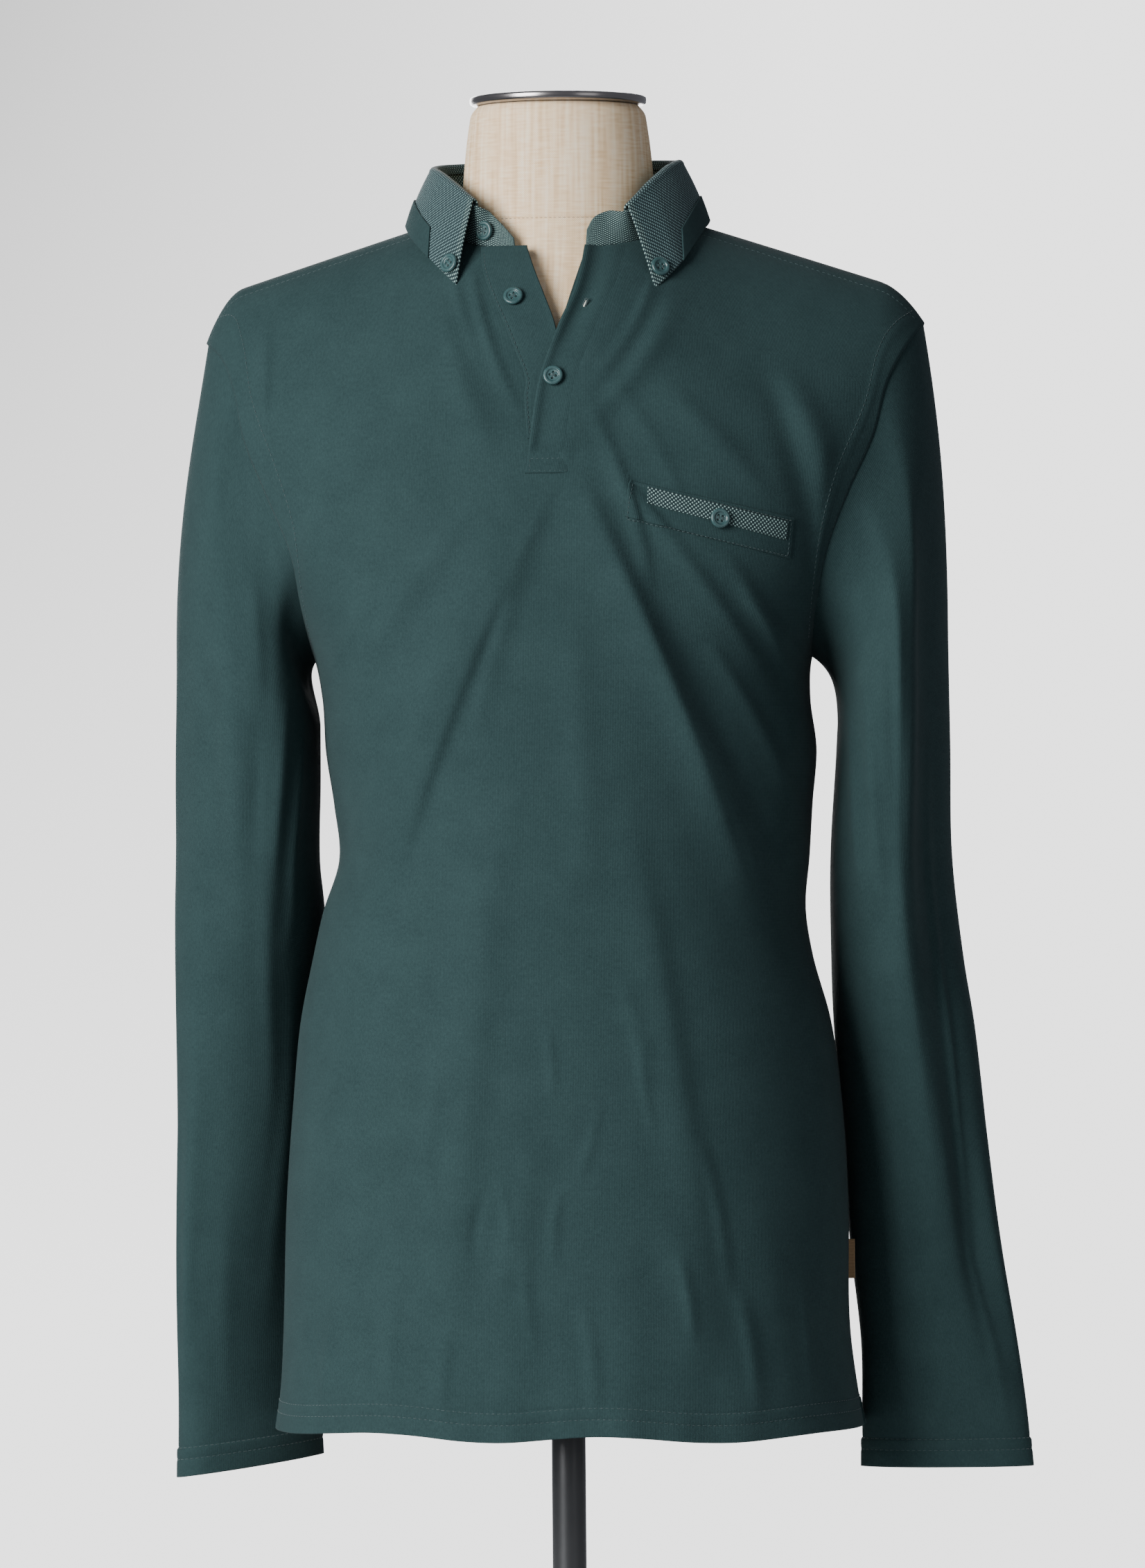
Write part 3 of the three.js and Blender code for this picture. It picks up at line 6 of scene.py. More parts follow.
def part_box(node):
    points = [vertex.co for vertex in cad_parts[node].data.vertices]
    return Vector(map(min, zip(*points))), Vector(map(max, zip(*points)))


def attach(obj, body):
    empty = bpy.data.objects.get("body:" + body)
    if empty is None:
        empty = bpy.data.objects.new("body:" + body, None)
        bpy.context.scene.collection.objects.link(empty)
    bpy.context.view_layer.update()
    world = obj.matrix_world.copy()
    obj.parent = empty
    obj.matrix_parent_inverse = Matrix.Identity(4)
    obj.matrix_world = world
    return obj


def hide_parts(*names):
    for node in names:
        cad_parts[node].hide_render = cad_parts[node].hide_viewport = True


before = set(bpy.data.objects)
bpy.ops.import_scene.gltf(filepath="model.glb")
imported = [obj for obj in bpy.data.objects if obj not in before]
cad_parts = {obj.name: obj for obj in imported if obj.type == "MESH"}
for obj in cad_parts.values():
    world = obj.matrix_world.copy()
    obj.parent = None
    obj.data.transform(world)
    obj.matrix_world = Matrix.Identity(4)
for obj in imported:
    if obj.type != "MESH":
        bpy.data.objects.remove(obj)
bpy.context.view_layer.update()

# Front and back of the shirt
# Two panels of cotton jersey that hang from the shoulders over the form, hemmed with a twin needle. The
# front is slit for the placket. Sizes are in millimetres, with x to the right, y to the back and z up.

HEM_Z, HEM_HALF, HEM_DROP = 157.6, 172, 3.8
HEM_WAVE, HEM_WAVE_AT, HEM_WAVE_LONG = 2.0, 30, 130
ARMPIT_Z = 604
RIDGE_Y = 3
NECK_SIDE_X, NECK_SIDE_Z, NECK_ROUND = 68, 860, 25
NECK_DROP = {-1: 19, 1: 3}
SHOULDER_SLOPE = np.tan(np.radians(18.2))
TIP_X, BREAK_X, TIP_DROP = (207.5, 213), (185, 187), (25, 16)
PLACKET_X, APEX_X, APEX_Z = 20.5, 5, 787
JERSEY_THICK = 1.3

# Sections of the body: height, half-width left and right, depth front and back, squareness
BODY = np.array([
    (150, 172, 174, 133, 128, 2.2), (178, 168, 169, 133, 127, 2.2), (212, 166, 165, 132, 126, 2.2),
    (287, 163.5, 164.5, 131, 124, 2.2), (347, 159, 161, 130, 121, 2.2), (392, 154.5, 155, 129, 118, 2.2),
    (429, 147, 145, 128, 116, 2.2), (457, 140.5, 141, 127.5, 115, 2.2), (487, 131, 143.5, 127.5, 114, 2.2),
    (518, 133.5, 145.5, 128, 115, 2.25), (550, 138, 148, 129, 118, 2.35), (580, 139.5, 144.5, 130.5, 121, 2.45),
    (604, 144, 146, 131, 124, 2.45), (634, 156, 159, 130, 126.5, 2.4), (665, 172, 177, 127.5, 127, 2.3),
    (697, 190, 195, 122, 126, 2.2), (730, 208, 212, 113, 122, 2.2), (780, 230, 234, 99.5, 112, 2.2),
    (841, 250, 254, 88, 104, 2.2), (880, 262, 266, 82, 98, 2.2)])
# Armhole seam: height, distance to the left and to the right
ARMHOLE = np.array([
    (604, 144, 146), (634, 148, 151), (665, 152.5, 158), (697, 166, 170), (730, 180, 184.5),
    (762, 187.5, 193), (780, 196, 202), (790.1, 207.5, 208.6), (797.3, 213, 213)])
# Folds: from x and z, to x and z, sideways bow, width, height (a trough is negative), and how much
# steeper the right flank is than the left one
FRONT_FOLDS = np.array([
    (6, 704, -92, 470, -6, 8, 2.6, 0.5), (22, 700, 112, 470, 6, 7, 2.6, 0.7), (30, 720, 140, 560, 8, 6, 2.2, 0.5),
    (66, 760, 128, 690, 3, 7, 2.0, 0.3), (-40, 690, -128, 560, -8, 9, 2.0, -0.3),
    (150, 640, 128, 520, 5, 7, 2.4, 0.4),
    (-26, 520, -58, 200, -5, 16, 2.6, 0.2), (44, 520, 92, 200, 5, 14, 2.8, 0.4),
    (-4, 712, -134, 402, -9, 19, 5.5, 0.2), (14, 712, 152, 372, 9, 16.1, 6.5, 0.6),
    (46, 690, 162, 300, 16, 14.2, -3, 0), (-36, 690, -152, 310, -14, 14.2, -2.2, 0),
    (-62, 812, -30, 716, -5, 8.55, 2.8, 0), (72, 812, 24, 738, 7, 7.6, 3.2, -0.3),
    (-168, 800, -172, 700, 2, 6.65, 3, 0.4), (134, 768, 167, 676, 5, 7.6, 3.8, 0),
    (122, 770, 157, 628, 5, 7.6, -3, 0), (98, 664, 142, 590, 4, 6.65, 2.8, 0.4),
    (-10, 330, -32, 230, 3, 9.5, 1.9, 0), (60, 300, 84, 190, 4, 10.4, 1.9, 0),
    (-110, 300, -128, 170, -3, 12.3, 1.9, 0), (118, 300, 134, 170, 3, 12.3, 1.9, 0)])
FRONT_CREASES = np.array([
    (-46, 830, -15, 742, -4, 3.96, 2.8, 0.3), (-60, 838, -34, 765, -3, 3.52, 1.6, 0),
    (60, 826, 22, 756, 6, 4.4, 2.2, -0.4), (22, 752, 60, 640, 6, 5.28, 2.6, 0.5),
    (30, 770, 78, 690, 5, 4.4, 1.3, 0.2), (0, 690, -40, 560, -4, 6.16, 1.6, -0.3),
    (10, 640, 22, 470, 3, 10.6, 1.7, 0), (110, 644, 146, 566, 4, 4.4, 2.9, 0.3),
    (122, 628, 150, 586, 3, 3.52, 2.3, 0), (92, 610, 142, 500, 7, 6.16, 2.8, 0.5),
    (70, 590, 132, 452, 8, 7.04, 1.9, 0.3), (-100, 640, -138, 570, -4, 5.28, 2.2, -0.2),
    (-118, 618, -142, 580, -2, 3.52, 1.9, 0), (-84, 560, -128, 470, -5, 7.04, 1.9, -0.3),
    (-62, 560, -112, 420, -6, 7.92, 1.4, 0), (-132, 700, -146, 640, -1, 5.28, 1.7, 0),
    (-2, 392, 2, 352, 1, 2.29, 1.3, 0), (-30, 308, -24, 268, 2, 2.46, 1.7, 0.3),
    (-38, 298, -44, 258, -2, 2.82, -1.3, 0), (6, 300, 2, 258, -2, 2.64, 1.4, 0),
    (72, 262, 80, 210, 2, 2.99, 1.7, 0), (-14, 268, -8, 202, -3, 3.52, 1.3, 0),
    (40, 420, 56, 350, 3, 5.28, 1.3, 0), (-60, 380, -72, 310, -3, 5.28, 1.2, 0),
    (84, 330, 100, 240, 3, 4.4, 1.7, 0.2), (-88, 250, -96, 175, -3, 5.28, 1.7, 0),
    (18, 236, 24, 168, 2, 4.4, 1.6, 0), (-60, 222, -64, 164, -1, 4.4, 1.7, 0),
    (106, 240, 116, 168, 2, 4.4, 2, 0), (144, 420, 152, 320, 3, 5.28, 2.2, 0),
    (-140, 430, -150, 320, -3, 6.16, 2, 0), (-128, 230, -136, 168, -2, 4.4, 1.7, 0),
    (140, 250, 146, 172, 1, 3.52, 1.7, 0), (52, 380, 60, 330, -2, 2.64, 1, 0.2),
    (28, 350, 14, 300, 2, 2.64, 0.87, 0), (-76, 330, -66, 280, 2, 2.64, 0.87, 0)])
BACK_FOLDS = np.array([
    (-150, 730, -60, 520, 9, 15, 3.7, 0.2), (152, 720, 66, 500, -9, 15, 3.7, -0.2),
    (-40, 560, -72, 250, -8, 18, 3.9, 0), (34, 540, 60, 240, 7, 18, 3.7, 0),
    (-4, 520, 2, 280, 4, 16, -2.8, 0), (-104, 420, -118, 200, -4, 15, 2.8, 0),
    (100, 430, 116, 190, 4, 15, 2.8, 0)])
BACK_CREASES = np.array([
    (-130, 680, -96, 600, 4, 5.4, 2.1, 0.3), (128, 676, 92, 596, -4, 5.4, 2.1, -0.3),
    (-118, 620, -142, 580, -3, 3.6, 1.8, 0), (112, 622, 144, 584, 3, 3.6, 2, 0),
    (-20, 620, -26, 500, -3, 8.1, 1.7, 0), (20, 430, 30, 330, 3, 6.3, 1.3, 0),
    (-60, 300, -66, 190, -2, 5.4, 1.6, 0), (80, 260, 88, 175, 2, 5.4, 1.6, 0),
    (-140, 430, -150, 330, -3, 6.3, 1.8, 0), (144, 430, 152, 330, 3, 6.3, 1.8, 0),
    (4, 270, 0, 185, 2, 5.4, 1.3, 0), (-84, 560, -112, 470, -4, 6.3, 1.6, 0),
    (80, 550, 108, 466, 4, 6.3, 1.6, 0), (-30, 780, -20, 690, 3, 9, 1.3, 0),
    (36, 790, 26, 700, -3, 9, 1.2, 0), (-112, 250, -118, 172, -1, 4.5, 1.4, 0)])
# The slit's laps: height, free edge of the over placket, outer line and free edge of the under placket
PLACKET = np.array([
    (706, -12.4, -10.2, 3), (716, -10.8, -10.4, 4), (728, -9.4, -10.9, 5.5), (741, -7.8, -12.3, 7), (754, -6, -13, 9),
    (760, -4.9, -12.2, 9.6), (764, -4, -12.8, 10), (779, 0.8, -18.8, 7.2), (795, 6.6, -25.6, 3.8),
    (812, 13.6, -33.6, -2.8), (826.5, 17.4, -39, -8.8), (840, 19.2, -41.2, -13.8)])
HIGH_OUTLINE_SHARES = np.array([0, 0.13, 0.27, 0.41, 0.56, 0.71, 0.85, 0.945, 1])
NECK_COLUMNS = {-1: (PLACKET_X, 33, 46, 57.5, 65), 1: (13, 27, 42, 55, 64)}
FOLD_FADE, SIDE_FADE = 16, 3
HEM_LINES = (10, 16.5)
# Rows of the grid above a hem or a cuff, closer together at its stitches
HEM_ROWS = np.array([0, 0.8, 2.5, 5, 8, 9, 9.6, 10, 10.4, 11, 12.5, 14.5, 15.4, 16, 16.5, 17, 17.6, 19, 22])
ARMHOLE_LINE = 5


def smooth(t):
    """3t^2 - 2t^3, held at 0 and 1."""
    t = np.clip(t, 0, 1)
    return t * t * (3 - 2 * t)


def mix(a, b, t):
    return a + (b - a) * t


def by_side(x, pair):
    return np.where(np.asarray(x) < 0, pair[0], pair[1])


def read(table, column, at):
    """Cubic from row to row of a table. A row's slope is the mean of the runs on its two sides."""
    place, value = table[:, 0], table[:, column]
    at = np.clip(at, place[0], place[-1])
    run = np.diff(place)
    slope = np.diff(value) / run
    slope_at = np.concatenate((slope[:1], (slope[:-1] + slope[1:]) / 2, slope[-1:]))
    i = np.clip(np.searchsorted(place, at, side="right") - 1, 0, len(run) - 1)
    t = (at - place[i]) / run[i]
    bend = (1 - t) * slope_at[i] - t * slope_at[i + 1]
    return mix(value[i], value[i + 1], t * t * (3 - 2 * t)) + run[i] * t * (1 - t) * bend


def width_at(table, x, z):
    """Distance from the middle to the side in a table, at a height and on the side of x."""
    return np.where(np.asarray(x) < 0, read(table, 1, z), read(table, 2, z))


def ridge(x):
    """Shoulder line: a straight slope, rounded under the neck, that drops by a square past the break."""
    past = np.maximum(0, (np.abs(x) - by_side(x, BREAK_X)) / (by_side(x, TIP_X) - by_side(x, BREAK_X)))
    run = np.hypot(x, NECK_ROUND) - np.hypot(NECK_SIDE_X, NECK_ROUND)
    return NECK_SIDE_Z - SHOULDER_SLOPE * run - by_side(x, TIP_DROP) * past**2


def filled(facing, x, below):
    """Quarter of an ellipse in the depth below the shoulder line."""
    away = smooth((np.abs(x) - 50) / 80)
    share = np.clip(below / mix(110 if facing < 0 else 150, 160, away), 0, 1)
    return np.sqrt(2 * share - share * share)


def rounded(share, square):
    """Height of a superellipse of the given power, at a share of its half-width."""
    return np.maximum(0, 1 - np.minimum(1, np.abs(share)) ** square) ** (1 / square)


def body_y(facing, x, z):
    """Depth of the smooth body at x and z: its section there times how far it has filled out."""
    half = width_at(BODY, x, z)
    section = read(BODY, 3 if facing < 0 else 4, z) * rounded(x / half, read(BODY, 5, z))
    return RIDGE_Y + facing * (section - facing * RIDGE_Y) * filled(facing, x, ridge(x) - z)


def hem_height(x):
    """The hem's edge: it drops by a square towards the right and waves by a cosine."""
    wave = HEM_WAVE * np.cos(2 * np.pi * (x - HEM_WAVE_AT) / HEM_WAVE_LONG)
    return HEM_Z - HEM_DROP * ((x / HEM_HALF + 1) / 2) ** 2 + wave


def neck_height(facing, x):
    """The neckline: a fifth power of x in front and a square at the back."""
    power = 5 if facing < 0 else 2
    return NECK_SIDE_Z - NECK_DROP[facing] * (1 - np.abs(x / NECK_SIDE_X) ** power)


def outline_top(facing):
    """x and z where the columns of cloth end on top: tip, shoulder, neckline, and the same mirrored."""
    left, right = (np.array([s * mix(NECK_SIDE_X, tip, HIGH_OUTLINE_SHARES)]).ravel()
                   for s, tip in ((-1, TIP_X[0]), (1, TIP_X[1])))
    neck = np.array(NECK_COLUMNS[facing], float)
    middle = (APEX_X, APEX_Z) if facing < 0 else (0, neck_height(facing, 0))
    x = np.concatenate((left[::-1], -neck[::-1], [middle[0]], neck, right))
    z = np.concatenate((ridge(left[::-1]), neck_height(facing, neck[::-1]), [middle[1]],
                        neck_height(facing, neck), ridge(right)))
    return x, z


def armhole_distance(facing, x, z):
    """Rough distance to the armhole, longer low down where the cloth is seen edge on."""
    top = np.interp(x, *outline_top(facing))
    t = np.clip((z - ARMPIT_Z) / (top - ARMPIT_Z), 0, 1)
    height = mix(ARMPIT_Z, ridge(by_side(x, (-TIP_X[0], TIP_X[1]))), t)
    edge = width_at(ARMHOLE, x, height)
    return (edge - np.abs(x)) * mix(SIDE_FADE, 1, smooth(2 * t))


def seam_distance(facing, x, z):
    """Rough distance to the nearest edge of a panel: its side, its armhole or its top."""
    half = width_at(BODY, x, z)
    high = np.minimum(armhole_distance(facing, x, z), np.interp(x, *outline_top(facing)) - z)
    return np.maximum(0, np.where(z < ARMPIT_Z, SIDE_FADE * (half - np.abs(x)), high))


def fold_lift(folds, x, z):
    """Sum of soft ridges: height * sin(pi t)^0.7 * exp(-(distance from the bowed path / width)^2)."""
    total = np.zeros_like(x)
    for from_x, from_z, to_x, to_z, bow, wide, high, steep in folds:
        t = np.clip((from_z - z) / (from_z - to_z), 0, 1)
        off = x - mix(from_x, to_x, t) - 4 * bow * t * (1 - t)
        off *= np.cos(np.arctan2(to_x - from_x, from_z - to_z)) / wide
        off *= np.where(off > 0, 1 + 2 * max(steep, 0), 1 - 2 * min(steep, 0))
        total += high * np.sin(np.pi * t) ** 0.7 * np.exp(-off * off)
    return total


def groove(distance, wide=0.9, deep=0.35):
    """The dent that a row of stitches pulls into the cloth."""
    return -deep * np.exp(-((distance / wide) ** 2))


def hem_lift(up, layer=0.9):
    """The hem's second layer, one stitch row above its edge and one where the layer ends."""
    lift = layer * (1 - smooth((up - HEM_LINES[1] + 0.7) / 1.4))
    return lift + groove(up - HEM_LINES[0]) + groove(up - HEM_LINES[1])


def placket_top(x, z):
    """Outer face of the over placket: it stands off the front beside its free edge, in a rolled rim with a
    hollow next to it, and comes down to the front over three centimetres to the right and in the box below."""
    away = x - read(PLACKET, 1, z)
    open_neck = smooth((z - 772) / 24)
    high = mix(3.75, 2.5, open_neck) * (1 - smooth((z - 815) / 30) * 0.5)
    rim = mix(1.6, 2.1, open_neck) * np.exp(-(((away - 1.2) / 3.0) ** 2))
    hollow = mix(0.3, 1.7, open_neck) * np.exp(-(((away - 9.5) / 5.5) ** 2))
    lift = (high + rim - hollow) * (1 - smooth((away - 22) / 30))
    return mix(0.75 * (1 - smooth((away - 22) / 6)), lift, smooth((z - 717) / 10))


def placket_rise(x, z):
    """How far the front rises up to the over placket, from 15.5 mm beside its free edge onwards."""
    away = x - read(PLACKET, 1, z)
    return placket_top(x, z) * smooth((away - 15.5) / 3.5) * smooth((z - 708) / 10)


def panel_y(facing, x, z):
    """Depth of a panel's outer face: the smooth body, its folds, the hem's double layer and its waves, and on
    the front the rise up to the over placket."""
    fade = smooth(seam_distance(facing, x, z) / FOLD_FADE)
    big, small = (FRONT_FOLDS, FRONT_CREASES) if facing < 0 else (BACK_FOLDS, BACK_CREASES)
    lift = (fold_lift(big, x, z) + fold_lift(small, x, z)) * fade
    up = z - hem_height(x)
    half = width_at(BODY, x, z)
    lift += hem_lift(up) * smooth((half - np.abs(x)) / 6)
    near = np.where(z > ARMPIT_Z, armhole_distance(facing, x, z), 99)
    lift += 0.5 * (1 - smooth((near - ARMHOLE_LINE + 0.2) / 1.6)) * smooth(near / 1.5)
    lift += groove(near - ARMHOLE_LINE, 0.8, 0.3)
    wave = np.sin(x * 0.052 + facing) + 0.7 * np.sin(x * 0.087 + 2 * facing) + 0.4 * np.sin(x * 0.19)
    lift += 1.3 * wave * np.exp(-up / 60) * smooth((HEM_HALF - np.abs(x)) / 40)
    below = np.where(np.abs(x) > NECK_SIDE_X - 1, ridge(x) - z, 99)
    if facing < 0:
        lift += 0.55 * (1 - smooth((below - 4.2) / 0.8)) + groove(below - 6.2, 0.7, 0.25)
        lift += placket_rise(x, z)
    overlap = 0.4 * (1 - smooth(below / 0.5))
    return body_y(facing, x, z) + facing * (lift * smooth(below / 0.8) - overlap)


def panel(facing, columns, low_rows, high_rows):
    """Grid of a panel. Low rows run round the section by a sine of the column. High rows move from the
    armhole's share of the width to the columns' places on the shoulder and the neckline."""
    tops = outline_top(facing)
    w = np.linspace(-1, 1, columns)
    at = (w + 1) / 2 * (len(tops[0]) - 1)
    top_x, top_z = (np.interp(at, np.arange(len(t)), t) for t in tops)
    top_z = np.where(np.abs(top_x) < NECK_SIDE_X, top_z, ridge(top_x))
    swing = np.sin(np.pi / 2 * w)
    above = np.linspace(HEM_ROWS[-1], ARMPIT_Z - HEM_Z, low_rows + 1)[1:-1]
    low = np.concatenate((HEM_ROWS, above)) / (ARMPIT_Z - HEM_Z)
    z_low = mix(HEM_Z, ARMPIT_Z, low)[:, None] + ((1 - low) ** 3)[:, None] * (hem_height(HEM_HALF * swing) - HEM_Z)
    x_low = (width_at(BODY, w, z_low) + np.maximum(0, hem_lift(z_low - hem_height(HEM_HALF * swing)))) * swing
    t = (np.sin(np.pi / 2 * np.linspace(0, 1, high_rows + 1)) ** 2)[:, None]
    tip = by_side(w, TIP_X)
    height = mix(ARMPIT_Z, ridge(np.where(w < 0, -tip, tip)), t)
    edge = width_at(ARMHOLE, w, height)
    x_high = mix(edge * swing, top_x * edge / tip, smooth(t))
    z_high = mix(ARMPIT_Z, top_z, t)
    x, z = np.vstack((x_low, x_high)), np.vstack((z_low, z_high))
    y = panel_y(facing, x, z)
    steps = (np.diff(v, axis=1, prepend=v[:, :1]) for v in (x, y))
    run = np.cumsum(np.hypot(*steps), axis=1)
    middle = columns // 2
    uv = np.dstack((run - run[:, middle:middle + 1] + x[:, middle:middle + 1], z)) * 0.001
    return np.dstack((x, y, z)), uv


def mesh_piece(name, points, faces, uv=None):
    """A smooth-shaded object from points in millimetres and the corner numbers of its quads."""
    mesh = bpy.data.meshes.new(name)
    mesh.from_pydata((np.asarray(points) * 0.001).tolist(), [], np.asarray(faces).tolist())
    if uv is not None:
        layer = mesh.uv_layers.new(name="cloth")
        layer.data.foreach_set("uv", np.asarray(uv, np.float32).ravel())
    mesh.polygons.foreach_set("use_smooth", np.ones(len(mesh.polygons), bool))
    piece = bpy.data.objects.new(name, mesh)
    bpy.context.scene.collection.objects.link(piece)
    return piece


def grid_faces(rows, columns, closed=False):
    """Corner numbers of the quads of a grid, and the matching corners of its uv grid."""
    r, c = np.meshgrid(np.arange(rows - 1), np.arange(columns if closed else columns - 1), indexing="ij")
    steps = ((0, 0), (0, 1), (1, 1), (1, 0))
    faces = np.stack([(r + i) * columns + (c + j) % columns for i, j in steps], -1).reshape(-1, 4)
    wide = columns + 1 if closed else columns
    corners = np.stack([(r + i) * wide + c + j for i, j in steps], -1).reshape(-1, 4)
    return faces, corners


def turns(count):
    """Angles of a full turn in equal steps, without its end."""
    return np.linspace(0, 2 * np.pi, count + 1)[:-1]


def cloth_piece(name, points, uv, closed=False):
    """A grid of cloth given its thickness on the side away from the viewer."""
    faces, corners = grid_faces(*points.shape[:2], closed)
    piece = mesh_piece(name, points.reshape(-1, 3), faces, uv.reshape(-1, 2)[corners.ravel()])
    wall = piece.modifiers.new("wall", "SOLIDIFY")
    wall.thickness = JERSEY_THICK * 0.001
    wall.offset = -1
    return piece


def wire(tree, kind, settings=None, **inputs):
    """A shader node with its settings, and a value or a link for each named input."""
    made = tree.nodes.new("ShaderNode" + kind)
    for key, value in (settings or {}).items():
        setattr(made, key, value)
    for key, value in inputs.items():
        key = key.replace("_", " ")
        socket = made.inputs[int(key[1:])] if key[0] == "n" and key[1:].isdigit() else made.inputs[key]
        if isinstance(value, bpy.types.NodeSocket):
            tree.links.new(value, socket)
        else:
            socket.default_value = value
    return made


def maths(tree, operation, *values):
    return wire(tree, "Math", {"operation": operation}, **{f"n{i}": v for i, v in enumerate(values)}).outputs[0]


def new_group(name, inputs, outputs):
    group = bpy.data.node_groups.new(name, "ShaderNodeTree")
    for socket, kind in inputs:
        group.interface.new_socket(socket, in_out="INPUT", socket_type="NodeSocket" + kind)
    for socket, kind in outputs:
        group.interface.new_socket(socket, in_out="OUTPUT", socket_type="NodeSocket" + kind)
    return group, group.nodes.new("NodeGroupInput").outputs, group.nodes.new("NodeGroupOutput").inputs


def new_material(name, roughness=0.8, **constants):
    material = bpy.data.materials.new(name)
    material.use_nodes = True
    tree = material.node_tree
    shader = tree.nodes["Principled BSDF"]
    shader.inputs["Roughness"].default_value = roughness
    for key, value in constants.items():
        shader.inputs[key.replace("_", " ")].default_value = value
    return material, tree, shader


def object_noise(tree, scale, detail, **more):
    """Noise over a piece's own coordinates."""
    place = wire(tree, "TexCoord").outputs["Object"]
    return wire(tree, "TexNoise", Vector=place, Scale=scale, Detail=detail, **more).outputs["Fac"]


def blend(tree, share, low, high):
    """Mix of two colours by a share. The result is output 2, and the colours are inputs 6 and 7."""
    made = wire(tree, "Mix", {"data_type": "RGBA"}, Factor=share)
    made.inputs[6].default_value, made.inputs[7].default_value = low, high
    return made


def ramp_colour(tree, shader, value, low, high, places=(0, 1)):
    """Base colour by a ramp from low to high, with its two stops at the given places."""
    ramp = wire(tree, "ValToRGB", Fac=value)
    for stop, place, colour in zip(ramp.color_ramp.elements, places, (low, high)):
        stop.position, stop.color = place, (*colour, 1)
    tree.links.new(ramp.outputs[0], shader.inputs["Base Color"])
    return ramp


def vary_roughness(tree, shader, value, low, high):
    spread = wire(tree, "MapRange", Value=value, To_Min=low, To_Max=high)
    tree.links.new(spread.outputs[0], shader.inputs["Roughness"])


def add_bump(tree, shader, height, strength, distance):
    bump = wire(tree, "Bump", Strength=strength, Distance=distance, Height=height)
    tree.links.new(bump.outputs[0], shader.inputs["Normal"])


def finish_piece(piece, slot, *materials, replaces=()):
    for material in materials:
        piece.data.materials.append(material)
    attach(piece, "root")
    for node_name in replaces:
        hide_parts(node_name)
    return piece


# Knit: wales side by side and courses that bend between them, with flecks of paler and darker fibre
knit, cloth_in, cloth_out = new_group(
    "jersey knit", [("Cloth", "Vector"), ("Wale", "Float")],
    [("Height", "Float"), ("Fleck", "Float"), ("Cloud", "Float")])
parts = wire(knit, "SeparateXYZ", Vector=cloth_in["Cloth"])
across = maths(knit, "MULTIPLY", parts.outputs["X"], maths(knit, "DIVIDE", 6.2832, cloth_in["Wale"]))
wale = maths(knit, "SINE", across)
upwards = maths(knit, "MULTIPLY", parts.outputs["Y"], maths(knit, "DIVIDE", 8.2, cloth_in["Wale"]))
course = maths(knit, "SINE", maths(knit, "ADD", upwards, maths(knit, "MULTIPLY", wale, 1.3)))
ribs = maths(knit, "ADD", maths(knit, "MULTIPLY", wale, 0.32), maths(knit, "MULTIPLY", course, 0.18))
knit.links.new(ribs, cloth_out["Height"])
stretched = wire(knit, "Mapping", Vector=cloth_in["Cloth"], Scale=(800, 460, 1))
fibre = wire(knit, "TexNoise", Vector=stretched.outputs[0], Scale=1.0, Detail=6.0, Roughness=0.8)
knit.links.new(fibre.outputs["Fac"], cloth_out["Fleck"])
cloud = wire(knit, "TexNoise", Vector=cloth_in["Cloth"], Scale=26.0, Detail=9.0, Roughness=0.8)
knit.links.new(cloud.outputs["Fac"], cloth_out["Cloud"])


def jersey_material(name, deep, pale, wale=0.00095):
    """Matt cotton jersey: fibre flecks and faint clouds vary one dyed green, and the knit is its bump."""
    material, tree, shader = new_material(
        name, 0.88, Sheen_Weight=0.05, Sheen_Roughness=0.4, Specular_IOR_Level=0.15)
    place = wire(tree, "UVMap", {"uv_map": "cloth"})
    weave = wire(tree, "Group", {"node_tree": knit}, Cloth=place.outputs[0], Wale=wale)
    fleck = wire(tree, "MapRange", Value=weave.outputs["Fleck"], From_Min=0.37, From_Max=0.65)
    cloud = wire(tree, "MapRange", Value=weave.outputs["Cloud"], From_Min=0.3, From_Max=0.7, To_Min=-0.08,
                 To_Max=0.46)
    share = maths(tree, "MULTIPLY_ADD", fleck.outputs[0], 0.7, cloud.outputs[0])
    tree.links.new(blend(tree, share, deep, pale).outputs[2], shader.inputs["Base Color"])
    add_bump(tree, shader, weave.outputs["Height"], 0.55, 0.00022)
    return material


GREEN_DEEP, GREEN_PALE = (0.0143, 0.0335, 0.0348, 1), (0.0270, 0.0561, 0.0571, 1)
jersey = jersey_material("green jersey", GREEN_DEEP, GREEN_PALE)

front_grid, front_uv = panel(-1, columns=197, low_rows=150, high_rows=72)
front = finish_piece(cloth_piece("front_cloth", front_grid, front_uv), "jersey", jersey, replaces=["front"])
back_grid, back_uv = panel(1, columns=169, low_rows=112, high_rows=50)
back_grid, back_uv = back_grid[:, ::-1], back_uv[:, ::-1]
back = finish_piece(cloth_piece("back_cloth", back_grid, back_uv), "jersey", jersey, replaces=["back"])

# Long sleeves
# Two tubes of the same jersey, set into the armholes and topstitched on the body's side. Their heads fall
# from the seam and turn into slim arms that end in twin-stitched cuffs.

